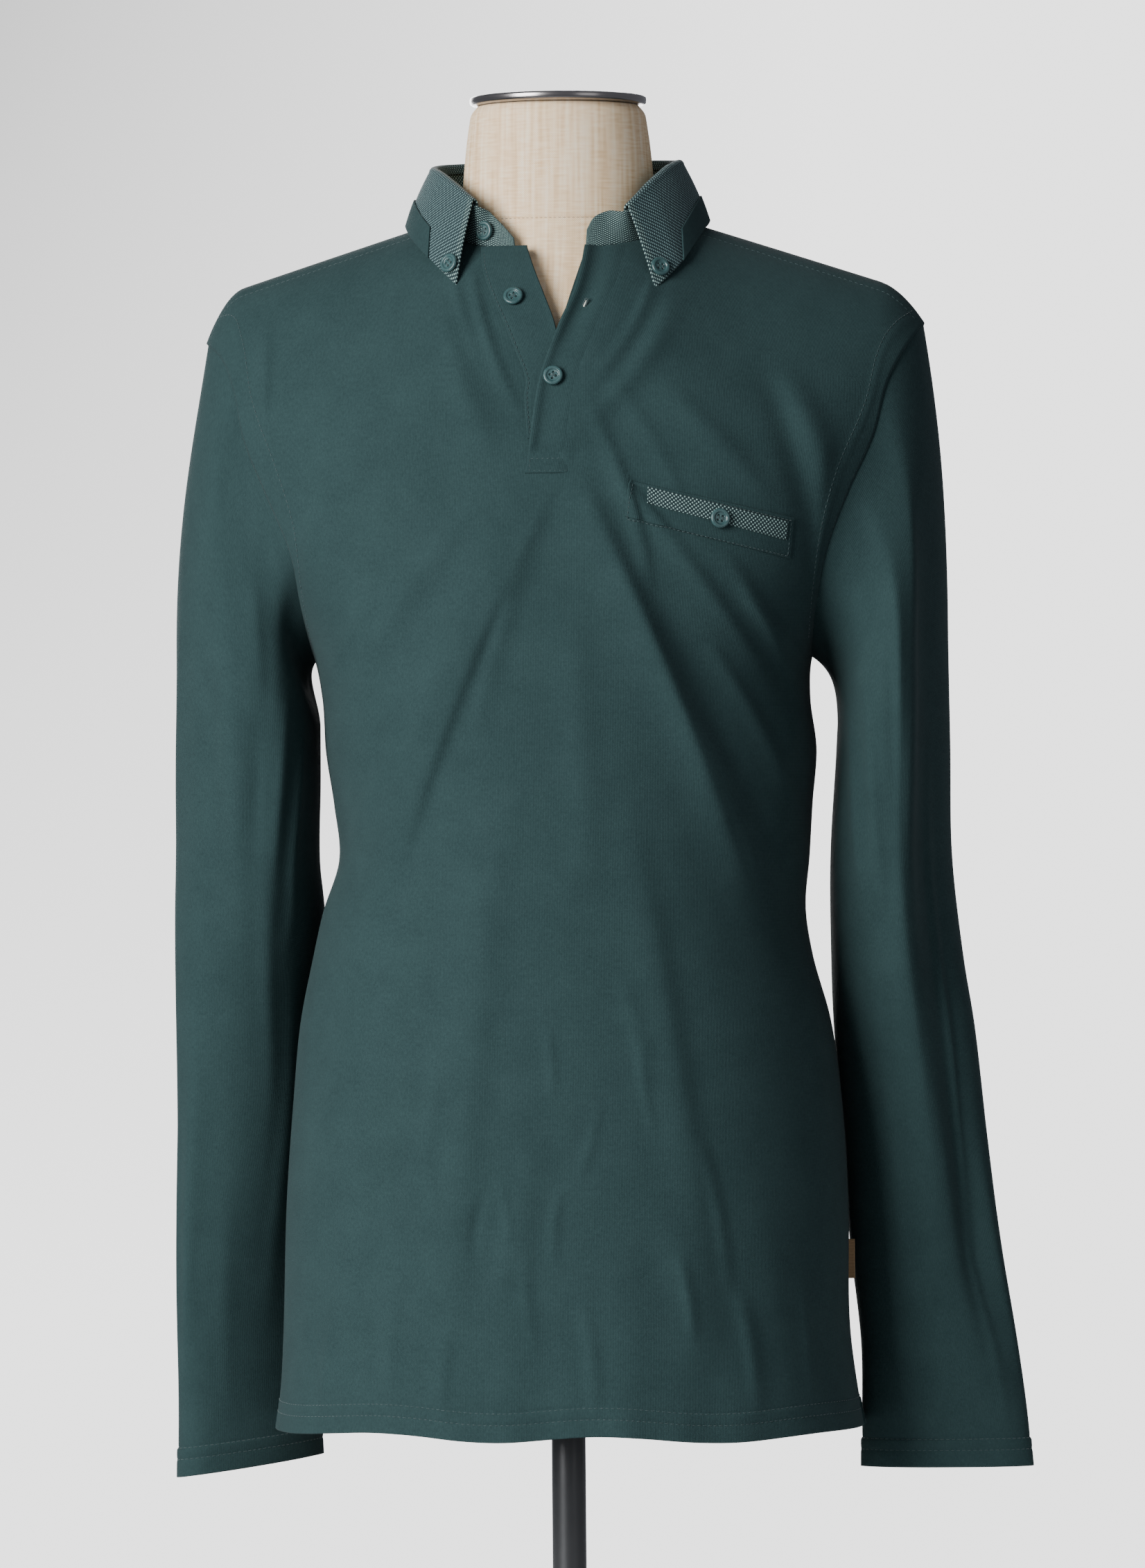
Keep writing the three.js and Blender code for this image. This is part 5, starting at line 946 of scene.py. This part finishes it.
def button_mesh(sides=84):
    """Closed polar grid: a round rim, a dished face with four pits for the holes, and a flat back."""
    profile_r = np.concatenate((np.linspace(0, 4.0, 20), np.linspace(4.15, BUTTON_R, 9)))
    rim = BUTTON_THICK - 0.75 * np.clip((profile_r - 4.75) / 0.95, 0, 1) ** 2.2
    face = rim - 0.75 * (1 - smooth((profile_r - 3.1) / 0.9))
    turn = turns(sides)
    x, y = profile_r[:, None] * np.cos(turn), profile_r[:, None] * np.sin(turn)
    z = face[:, None] + 0 * x
    for hole_x in (-HOLE_OUT, HOLE_OUT):
        for hole_y in (-HOLE_OUT, HOLE_OUT):
            z -= 1.2 * (1 - smooth((np.hypot(x - hole_x, y - hole_y) - 0.45) / 0.35))
    back_r = np.array([BUTTON_R, BUTTON_R - 0.4, BUTTON_R - 1.5, 0])
    back_z = np.array([0.55, 0.12, 0, 0])
    x = np.vstack((x, back_r[:, None] * np.cos(turn)))
    y = np.vstack((y, back_r[:, None] * np.sin(turn)))
    z = np.vstack((z, back_z[:, None] + 0 * turn[None, :]))
    points = np.stack((x, y, z), -1)[:, ::-1]
    faces, _ = grid_faces(len(points), sides, closed=True)
    return points.reshape(-1, 3), faces


def rod(start, end, radius, sides=8, sag=0.0):
    """A short round thread from start to end that bows outwards at its middle."""
    t = np.linspace(0, 1, 9)
    line = mix(np.array(start, float), np.array(end, float), t[:, None])
    line[:, 2] += sag * np.sin(np.pi * t)
    thick = radius * np.sqrt(np.clip(1 - (2 * t - 1) ** 6, 0.02, 1))
    way = unit(line[-1] - line[0])
    side = unit(np.cross(way, (0, 0, 1.0)))
    up = np.cross(side, way)
    turn = turns(sides)
    ring = np.cos(turn)[:, None] * side + np.sin(turn)[:, None] * up
    points = line[:, None] + thick[:, None, None] * ring[None]
    faces, _ = grid_faces(len(points), sides, closed=True)
    return points.reshape(-1, 3), faces


def add_button(node_name, centre, facing, turn, crossed):
    """A sewn button whose back lies at a point: disc and threads in one mesh with two materials."""
    sets = [button_mesh()]
    h = HOLE_OUT
    ends = (((-h, -h), (h, h)), ((-h, h), (h, -h))) if crossed else (((-h, -h), (-h, h)), ((h, -h), (h, h)))
    for (ax, ay), (bx, by) in ends:
        for shift in (-THREAD_APART, THREAD_APART):
            sets.append(rod((ax + shift, ay, THREAD_Z), (bx + shift, by, THREAD_Z), THREAD_R, sag=THREAD_SAG))
    points, faces = joined(sets)
    spin = Matrix.Rotation(turn, 3, "Z")
    aim = Vector((0, 0, 1)).rotation_difference(Vector(facing).normalized()).to_matrix()
    button = mesh_piece(node_name + "_sewn", points @ np.array(aim @ spin).T + np.asarray(centre), faces)
    finish_piece(button, "buttons", button_green, thread_dark, replaces=[node_name])
    disc_faces = len(sets[0][1])
    button.data.polygons.foreach_set("material_index", [0] * disc_faces + [1] * (len(faces) - disc_faces))


def front_place(x, z, out):
    """A point at a height over the front, and the front's normal there."""
    point, lower = on_front(np.full(2, float(x)), np.full(2, float(z)), np.array([out, out - 1.0]))
    return point, point - lower


for node_name, x, z, out, turn, crossed in (
        ("button_placket_1", -20.2, 809, 2.6, 0.45, True), ("button_placket_2", 3.6, 762.4, 4.6, 0.6, True),
        ("button_pocket", 98, 680.7, 2.2, 0.1, False)):
    point, facing = front_place(x, z, out)
    add_button(node_name, point, facing, turn, crossed)
for side, word in ((-1, "left"), (1, "right")):
    at = np.array([0.32, 0.92]) if side < 0 else np.array([16 - 0.92, 16 - 0.32])
    near = leaf_grid(at, np.array([0.62, 0.8, 0.86, 0.95]))
    normal = unit(np.cross(near[1, 1] - near[1, 0], near[0, 0] - near[3, 0]))
    normal *= -np.sign(normal[1])
    middle = (near[2, 0] + near[2, 1]) / 2
    add_button(f"button_collar_{word}", middle + normal * 1.1, normal, 0.3, False)
STAND_SPOT, BUTTON_STATION, HOLE_STATION = 0.42, 2.35, 19.95
foot, beyond = curve_at(stand_foot, np.array([BUTTON_STATION, BUTTON_STATION + 1]))
top = curve_at(stand_top, np.array([BUTTON_STATION]))[0]
facing = unit(np.cross(beyond - foot, top - foot))
facing *= -np.sign(facing[1])
add_button("button_stand", mix(foot, top, STAND_SPOT) + facing * 0.9, facing, 0.75, True)

# Stitching
# Twin rows round the hem and the cuffs, single rows beside the armholes, the placket, the pocket and the
# collar's edges, in matching thread. Each stitch is a small raised capsule of its own.


def stitch_row(line, outwards, length=2.5, gap=0.75, width=0.42, high=0.26, across=False):
    """Capsules along a line, five-sided with five rings, sunk at both ends; set crosswise in a buttonhole."""
    run = lengths(line)
    count = max(1, int(run[-1] / (width + gap if across else length + gap)))
    at = (np.arange(count) + 0.5) / count * run[-1]
    centre = read_line(line, run, at)
    way = unit(read_line(line, run, at + 0.4) - read_line(line, run, at - 0.4))
    out = unit(read_line(outwards, run, at))
    side = unit(np.cross(way, out))
    if across:
        way, side = side, -way
    turn = turns(5)
    reach, thick = np.array([-1, -0.72, 0, 0.72, 1]) * length / 2, np.array([0.15, 0.85, 1, 0.85, 0.15])
    sink = np.array([-0.28, -0.03, 0.06, -0.03, -0.28])
    ring_side = (np.cos(turn)[None, :] * thick[:, None] * width / 2).ravel()
    ring_up = (np.sin(turn)[None, :] * thick[:, None] * high + sink[:, None]).ravel()
    ring_along = np.repeat(reach, 5)
    points = centre[:, None] + sum(amount[None, :, None] * axis[:, None] for amount, axis in (
        (ring_along, way), (ring_side, side), (ring_up, out)))
    quads, _ = grid_faces(5, 5, closed=True)
    faces = (quads[None] + 25 * np.arange(count)[:, None, None]).reshape(-1, 4)
    return points.reshape(-1, 3), faces


def stitched(name, rows, slot="jersey", thread=thread_dark, **size):
    """All the stitches of one group as one piece."""
    points, faces = joined([stitch_row(line, outwards, **size) for line, outwards in rows])
    return finish_piece(mesh_piece(name, points, faces), slot, thread)


def dense(points, step=1.0):
    """Corner points filled in to short straight steps."""
    points = np.asarray(points, float)
    run = lengths(points)
    return read_line(points, run, np.linspace(0, run[-1], max(3, int(run[-1] / step))))


def panel_row(facing, x, z, out=0.05):
    line = on_panel(facing, x, z, out + 0 * x)
    return line, line - on_panel(facing, x, z, out - 1 + 0 * x)


armhole_rows = []
for facing in (-1, 1):
    for side in (-1, 1):
        t = np.linspace(0.04, 0.985, 260)
        height = mix(ARMPIT_Z, float(ridge(np.array(side * float(TIP_X[side > 0])))), t)
        x = side * (width_at(ARMHOLE, side, height) - ARMHOLE_LINE / mix(SIDE_FADE, 1, smooth(2 * t)))
        armhole_rows.append(panel_row(facing, x, mix(ARMPIT_Z, np.interp(x, *outline_top(facing)), t)))
stitched("armhole_stitches", armhole_rows)
shoulder_rows = []
for side in (-1, 1):
    x = side * np.linspace(72, TIP_X[side > 0] - 5, 200)
    shoulder_rows.append(panel_row(-1, x, ridge(x) - 6.2))
stitched("shoulder_stitches", shoulder_rows)

outline_x, outline_z = dense([(read(PLACKET, 2, np.array(float(z))) + 1.7, z) for z in range(717, 839, 2)]).T
under_row = beside_slit(outline_x, outline_z, np.where(outline_z > 727, 2.1, 0.05))
low, high = BOX_LINES
box_x, box_z = dense([(-9.4, high), (-9.4, low), (15.6, low), (16.0, high), (-9.4, high)]).T
box_row = beside_slit(box_x, box_z, over_lift(box_x, box_z) + 0.76)
front_way = np.array((0, -1, 0.0))
stitched("placket_stitches", [(under_row, 0 * under_row + front_way), (box_row, 0 * box_row + front_way)],
         length=2.1, gap=0.8, width=0.4)


def inset(corners, by):
    """The four sides of a patch, moved in by a distance, as one closed path."""
    a, b, d, c = (np.array(p, float) for p in (corners[0], corners[1], corners[3], corners[2]))
    middle = (a + b + c + d) / 4
    moved = [p - np.sign(p - middle) * by for p in (a, b, d, c)]
    return dense(moved + moved[:1])


frame_path = inset(WELT, 1.7)
stitched("pocket_stitches", [panel_row(-1, frame_path[:, 0], frame_path[:, 1], 0.95)],
         length=2.0, gap=0.7, width=0.4)
band_n = normals_of(band)
band_rows = [(band[row] + band_n[row] * 0.6, band_n[row]) for row in (3, -4)]
stitched("collar_band_stitches", band_rows, length=2.2, gap=0.8, width=0.36, high=0.2)

# Buttonholes: the upper one of the over placket lies open, with a flat pale sliver in its slit. The stand's lies
# within its cloth.
HOLE_ROUND, HOLE_HALF, SLIT_HALF = 0.9, 0.85, 0.36
pale_sliver, tree, shader = new_material("pale slit sliver", 0.85, Sheen_Weight=0.2)
ramp_colour(tree, shader, object_noise(tree, 900.0, 3.0), (0.36, 0.38, 0.32), (0.78, 0.78, 0.68))


def buttonhole(name, middle, along, outwards, length, slot):
    """Stitches set crosswise round a stadium, and a flat sliver between them with elliptic sides."""
    outwards = unit(np.asarray(outwards, float))
    along = unit(along - outwards * np.dot(along, outwards))
    side = np.cross(outwards, along)
    turn = np.linspace(0, 2 * np.pi, 121)
    straight = length / 2 - HOLE_ROUND
    reach = straight * np.clip(4 * np.cos(turn), -1, 1) + HOLE_ROUND * np.cos(turn)
    path = middle + reach[:, None] * along + HOLE_HALF * np.sin(turn)[:, None] * side
    stitched(name + "_satin", [(path, 0 * path + outwards)], slot,
             length=1.1, gap=0.05, width=0.36, high=0.3, across=True)
    u = np.linspace(-1, 1, 25)
    half = SLIT_HALF * np.sqrt(np.clip(1 - u * u, 0.01, 1))
    points = np.stack([middle + (u * straight)[:, None] * along + (k * half)[:, None] * side + 0.2 * outwards
                       for k in (-1, 0, 1)])
    faces, _ = grid_faces(*points.shape[:2])
    finish_piece(mesh_piece(name + "_slit", points.reshape(-1, 3), faces[:, ::-1]), slot, pale_sliver)


spot_x, spot_z = np.array([20.2, 21.2]), np.array([804.2, 805.8])
spots_on = beside_slit(spot_x, spot_z, over_lift(spot_x, spot_z) + 0.72)
buttonhole("placket_buttonhole", spots_on[0], spots_on[1] - spots_on[0], (-0.25, -1, 0.1), 9.5, "jersey")
hole_at = np.array([HOLE_STATION, HOLE_STATION + 0.35])
foot, top = curve_at(stand_foot, hole_at), curve_at(stand_top, hole_at)
spots_on = mix(foot, top, STAND_SPOT)
facing = unit(np.cross(spots_on[1] - spots_on[0], top[0] - foot[0]))
facing *= -np.sign(facing[1])
buttonhole("stand_buttonhole", spots_on[0] + facing * 0.75, spots_on[1] - spots_on[0], facing, 9.0, "dotted")

hem_rows = []
for facing in (-1, 1):
    swing = np.sin(np.pi / 2 * np.linspace(-0.985, 0.985, 400))
    for up in HEM_LINES:
        z = hem_height(HEM_HALF * swing) + up
        x = width_at(BODY, swing, z) * swing
        line = np.stack((x, panel_y(facing, x, z), z), -1)
        flat = np.stack((x / 165**2, line[:, 1] / 128**2, 0 * x), -1)
        hem_rows.append((line, unit(flat)))
stitched("hem_stitches", hem_rows)
cuff_rows = []
for side in (-1, 1):
    for up in HEM_LINES:
        ring = sleeve_grids[side][-1 - list(HEM_ROWS).index(up)]
        ring = np.vstack((ring, ring[:1]))
        cuff_rows.append((ring, unit((ring - ring.mean(0)) * np.array((1, 1, 0)))))
stitched("cuff_stitches", cuff_rows)

# Side label
# A small folded tab of tan ribbon, bare, caught in the right side seam above the hem.

label_low, label_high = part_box("side_label")
tan, tree, shader = new_material("tan ribbon", 0.75, Sheen_Weight=0.2)
place = wire(tree, "TexCoord")
ribs = wire(tree, "TexWave", {"bands_direction": "Z"}, Vector=place.outputs["Object"], Scale=420.0,
            Distortion=0.6)
ramp_colour(tree, shader, ribs.outputs["Fac"], (0.17, 0.10, 0.045), (0.32, 0.20, 0.095))
add_bump(tree, shader, ribs.outputs["Fac"], 0.4, 0.0002)
label_x = np.array([label_low.x - 0.004, label_high.x - 0.0003]) * 1000
label_z = np.array([label_low.z, label_high.z]) * 1000
s, t = spaced(12, 7)[None, :], spaced(20, 23)[:, None]
label_y = 0.35 * np.sin(3 * s) + 0.5 * np.sin(4 * t)
label_grid = np.stack((mix(*label_x, s) + 0 * t, label_y, mix(*label_z, t) + 0 * s), -1)
label = strip_piece("side_label_ribbon", label_grid, 0.9, 0.45, "label", tan, "side_label")

# Dress form
# A padded torso under a tight cover of coarse undyed linen, closed at the neck by a turned steel disc, on a
# dark tube that is screwed into a round base plate.

FORM_DROP, FORM_SQUARE = 3.3, 2.2
FORM = np.array([
    (232, 122, 96, 90), (260, 133, 107, 101), (330, 135, 111, 104), (420, 128, 110, 100), (487, 123, 110, 98),
    (560, 130, 116, 106), (604, 133, 120, 112), (650, 145, 121, 119), (697, 160, 115, 119), (740, 172, 104, 114),
    (780, 180, 94, 106), (820, 186, 82, 97), (880, 196, 72, 86)])
NECK = np.array([
    (840, 57, 53, 45), (858, 57, 52.5, 45.5), (890, 55, 50, 46), (915, 52, 48.5, 46.5), (921.5, 50.6, 47.6, 46),
    (926, 47, 44.8, 43.8)])
NECK_START_Z, NECK_GIVE_WAY, NECK_SEAM_Z = 838, 15, 858


def form_ring(z, angle):
    """Section of the form at a height: the torso's and the neck's superellipses joined by a tenth power."""
    half = float(read(FORM, 1, z))
    give = 0.0 if z < NECK_START_Z else NECK_GIVE_WAY * float(smooth((z - NECK_START_Z) / 22))

    def reach_of(sign):
        places = np.linspace(0, half, 400)
        inside = places[ridge(sign * places) - FORM_DROP > z]
        if len(inside) == len(places):
            return half
        return max(0.0, (inside[-1] if len(inside) else 0.0) - give)
    neck_half, neck_front, neck_back = (
        (0, 0, 0) if z < NECK_START_Z else (float(read(NECK, k, z)) for k in (1, 2, 3)))
    reach = np.where(np.cos(angle) < 0, max(reach_of(-1), neck_half), max(reach_of(1), neck_half))
    x = reach * np.cos(angle)
    depth = []
    for facing in (-1, 1):
        torso = read(FORM, 2 if facing < 0 else 3, z) * rounded(x / half, FORM_SQUARE)
        torso = torso * filled(facing, x, ridge(x) - FORM_DROP - z)
        share = np.minimum(1, np.abs(x) / max(neck_half, 1e-6)) if neck_half else np.ones_like(x)
        throat = (neck_front if facing < 0 else neck_back) * np.sqrt(1 - share * share)
        depth.append((torso**10 + throat**10) ** 0.1)
    y = np.where(np.sin(angle) < 0, -depth[0], depth[1])
    return np.stack((x, y, z + 0 * x), -1)


linen, tree, shader = new_material(
    "undyed linen", 0.9, Sheen_Weight=0.04, Sheen_Roughness=0.5, Specular_IOR_Level=0.2)
place = wire(tree, "UVMap", {"uv_map": "cloth"})
streak_at = wire(tree, "Mapping", Vector=place.outputs[0], Scale=(380, 14, 1))
streak = wire(tree, "TexNoise", Vector=streak_at.outputs[0], Scale=1.0, Detail=3.0)
slub_at = wire(tree, "Mapping", Vector=place.outputs[0], Scale=(90, 900, 1))
slub = wire(tree, "TexNoise", Vector=slub_at.outputs[0], Scale=1.0, Detail=2.0)
parts = wire(tree, "SeparateXYZ", Vector=place.outputs[0])
THREAD_PITCH = 0.00062
warp, weft = (maths(tree, "SINE", maths(tree, "MULTIPLY", parts.outputs[axis], 3.1416 / THREAD_PITCH))
              for axis in "XY")
cross = maths(tree, "MULTIPLY", warp, weft)
tone = maths(tree, "MULTIPLY_ADD", slub.outputs["Fac"], 0.4, maths(tree, "MULTIPLY", streak.outputs["Fac"], 0.6))
colour = ramp_colour(tree, shader, tone, (0.78, 0.53, 0.30), (1.0, 0.84, 0.64), (0.36, 0.64))
colour.color_ramp.elements.new(0.5).color = (0.93, 0.70, 0.45, 1)
shade = wire(tree, "MapRange", Value=cross, From_Min=-1.0, From_Max=1.0, To_Min=0.76, To_Max=1.10)
tinted = wire(tree, "VectorMath", {"operation": "SCALE"}, n0=colour.outputs[0], Scale=shade.outputs[0])
tree.links.new(tinted.outputs[0], shader.inputs["Base Color"])
add_bump(tree, shader, maths(tree, "MULTIPLY_ADD", cross, 0.5, slub.outputs["Fac"]), 0.4, 0.0003)

angle = np.linspace(-np.pi, np.pi, 145)[:-1]
# Levels of the rings, closest together at the neck's seam and at its rounded top
levels = np.concatenate([np.linspace(*run) for run in (
    (232, 780, 70), (784, 838, 20), (840, 855, 12), (856, 860, 11), (861, 866, 5), (868, 920, 28))]
    + [[921.5, 923, 924.3, 925.3, 926]])
rings = [form_ring(z, angle) for z in levels]
bottom, top = rings[0], rings[-1]
rings = [bottom * np.array((k, k, 1)) for k in (0.0, 0.5, 0.9, 0.985)] + rings + [
    top * np.array((k, k, 1)) for k in (0.97, 0.5, 0.0)]
form = np.array(rings)
seam = 0.6 * np.exp(-(((form[..., 2] - NECK_SEAM_Z) / 0.8) ** 2))
form[..., :2] *= (1 - seam / 60)[..., None]
around = np.cumsum(np.linalg.norm(np.diff(form[:, np.arange(-1, 145) % 144], axis=1), axis=2), 1)
form_uv = np.dstack((around - around[:, 36:37], form[:, np.arange(145) % 144, 2])) * 0.001
faces, corners = grid_faces(len(form), 144, closed=True)
form_piece = mesh_piece("dress_form_linen", form.reshape(-1, 3), faces, form_uv.reshape(-1, 2)[corners.ravel()])
finish_piece(form_piece, "linen", linen, replaces=["dress_form"])
seam_thread, tree, shader = new_material("linen thread", 0.8)
ramp_colour(tree, shader, object_noise(tree, 800.0, 2.0), (0.20, 0.15, 0.10), (0.50, 0.40, 0.29))
ring = form_ring(NECK_SEAM_Z, np.linspace(-np.pi, np.pi, 361)) - np.array((0, 0, 0.1))
stitched("neck_seam_stitches", [(ring, ring * np.array((1, 1, 0)))], "linen", seam_thread,
         length=1.7, gap=1.0, width=0.3, high=0.2)


def turned(name, profile, sides=128):
    """A profile of radius and height carried round the vertical axis, with its corners as given."""
    profile = np.array(profile, float)
    turn = turns(sides)
    r, z = profile[:, :1], profile[:, 1:]
    points = np.stack((r * np.cos(turn), r * np.sin(turn), z + 0 * turn), -1)
    faces, _ = grid_faces(len(points), sides, closed=True)
    return mesh_piece(name, points.reshape(-1, 3), faces)


steel, tree, shader = new_material("turned steel", 0.22, Metallic=1.0)
place = wire(tree, "TexCoord")
far = wire(tree, "VectorMath", {"operation": "MULTIPLY"}, n0=place.outputs["Object"], n1=(1, 1, 0.2))
radius = wire(tree, "VectorMath", {"operation": "LENGTH"}, n0=far.outputs[0])
rings_at = maths(tree, "MULTIPLY", radius.outputs["Value"], 4200.0)
fine = wire(tree, "TexNoise", {"noise_dimensions": "1D"}, W=rings_at, Scale=1.0, Detail=2.0).outputs["Fac"]
vary_roughness(tree, shader, fine, 0.14, 0.34)
ramp_colour(tree, shader, fine, (0.24, 0.225, 0.22), (0.36, 0.34, 0.335))
cap = turned("neck_cap_steel", [
    (0, 926.3), (47, 926.3), (49.2, 926.5), (50.6, 926.9), (51.3, 927.5), (51.6, 928.2), (51.6, 930.2), (51.4, 930.8),
    (50.8, 931.2), (49.8, 931.4), (44, 931.5), (30, 931.55), (0, 931.6)])
finish_piece(cap, "cap_metal", steel, replaces=["neck_cap"])

painted, tree, shader = new_material("dark painted steel", 0.35, Metallic=0.55, Coat_Weight=0.3, Coat_Roughness=0.25)
orange_peel = object_noise(tree, 260.0, 3.0)
ramp_colour(tree, shader, object_noise(tree, 14.0, 4.0), (0.034, 0.036, 0.038), (0.060, 0.062, 0.065))
vary_roughness(tree, shader, orange_peel, 0.28, 0.44)
add_bump(tree, shader, orange_peel, 0.2, 0.0002)
pole = turned("pole_tube", [
    (0, 12.2), (9.2, 12.2), (9.9, 12.9), (9.9, 30), (9.9, 120), (9.9, 230.6), (9.3, 231.6), (0, 231.6)], 96)
finish_piece(pole, "pole_metal", painted, replaces=["pole"])
base = turned("base_plate", [
    (0, 0), (148.6, 0), (149.6, 0.4), (150, 1.4), (150, 2.8), (149.5, 3.6), (148.2, 4.4), (145, 5.2), (100, 6.9),
    (60, 8.2), (28, 9.4), (25, 9.8), (24.4, 10.6), (23.6, 11.4), (22.4, 11.9), (20.5, 12.0), (0, 12.0)], 144)
finish_piece(base, "pole_metal", painted, replaces=["base"])

# Studio
# A pale round floor in an even pale room, a large soft light from the left and front, a weak fill, and the
# camera of the photograph: level, 5 m away, four degrees to the right of straight ahead.

floor_paint, tree, shader = new_material("pale floor", 0.95, Specular_IOR_Level=0.1)
ramp_colour(tree, shader, object_noise(tree, 0.6, 2.0), (0.70, 0.70, 0.71), (0.76, 0.76, 0.77))
floor = turned("floor", [
    (0, -12), (745, -12), (752, -9), (754, -5), (752, -1.5), (746, -0.1), (500, -0.05), (0, -0.05)], 160)
floor.data.materials.append(floor_paint)


def area_light(name, place, target, size, power, colour=(1, 1, 1)):
    lamp = bpy.data.lights.new(name, "AREA")
    lamp.shape, lamp.size, lamp.size_y, lamp.energy, lamp.color = "RECTANGLE", size[0], size[1], power, colour
    holder = bpy.data.objects.new(name, lamp)
    holder.location = place
    holder.rotation_euler = (Vector(target) - Vector(place)).to_track_quat("-Z", "Y").to_euler()
    holder.visible_camera = False
    bpy.context.scene.collection.objects.link(holder)


area_light("key softbox", (-1.8, -2.2, 1.3), (0, 0, 0.52), (1.5, 1.8), 160)
area_light("fill", (2.6, -2.8, 1.2), (0, 0, 0.5), (1.8, 2.0), 10)
area_light("back softbox", (-0.7, 3.0, 1.2), (0, 0, 0.6), (1.6, 1.8), 85)
world = bpy.data.worlds.new("studio")
bpy.context.scene.world = world
world.use_nodes = True
tree = world.node_tree
room = tree.nodes["Background"]
room.inputs["Color"].default_value, room.inputs["Strength"].default_value = (0.86, 0.90, 1.0, 1), 0.24
# The camera alone sees a glowing wall with painted shade: it is darker at its upper left
wall = wire(tree, "Background", Strength=1.0)
heading = wire(tree, "SeparateXYZ", Vector=wire(tree, "TexCoord").outputs["Generated"])
sideways = wire(tree, "MapRange", Value=heading.outputs["X"], From_Min=-0.14, From_Max=-0.04)
upwards = wire(tree, "MapRange", Value=heading.outputs["Z"], From_Min=-0.06, From_Max=0.10)
corner = maths(tree, "MULTIPLY", maths(tree, "SUBTRACT", 1.0, sideways.outputs[0]), upwards.outputs[0])
shade = wire(tree, "MapRange", Value=corner, To_Min=2.5, To_Max=1.0)
grey = wire(tree, "CombineColor", **dict.fromkeys(("Red", "Green", "Blue"), shade.outputs[0]))
tree.links.new(grey.outputs[0], wall.inputs["Color"])
seen = wire(tree, "MixShader", n0=wire(tree, "LightPath").outputs["Is Camera Ray"])
tree.links.new(room.outputs[0], seen.inputs[1])
tree.links.new(wall.outputs[0], seen.inputs[2])
tree.links.new(seen.outputs[0], tree.nodes["World Output"].inputs["Surface"])

azimuth, roll, distance = np.radians(4.0), np.radians(0.46), 5.0
EYE_Z, EYE_RIGHT, FRAME_HIGH, SENSOR_HIGH = 0.530, 0.0053, 0.9165, 24
right = np.array((np.cos(azimuth), np.sin(azimuth), 0))
ahead = np.array((-np.sin(azimuth), np.cos(azimuth), 0))
up = np.array((0, 0, 1.0))
eye = EYE_Z * up + EYE_RIGHT * right - distance * ahead
axes = np.stack((np.cos(roll) * right - np.sin(roll) * up, np.sin(roll) * right + np.cos(roll) * up, -ahead), 1)
camera_data = bpy.data.cameras.new("camera")
camera_data.sensor_fit, camera_data.sensor_height = "VERTICAL", SENSOR_HIGH
camera_data.lens = SENSOR_HIGH * distance / FRAME_HIGH
camera = bpy.data.objects.new("camera", camera_data)
camera.matrix_world = Matrix.Translation(eye) @ Matrix(axes.tolist()).to_4x4()
bpy.context.scene.collection.objects.link(camera)
bpy.context.scene.camera = camera

bpy.context.view_layer.update()
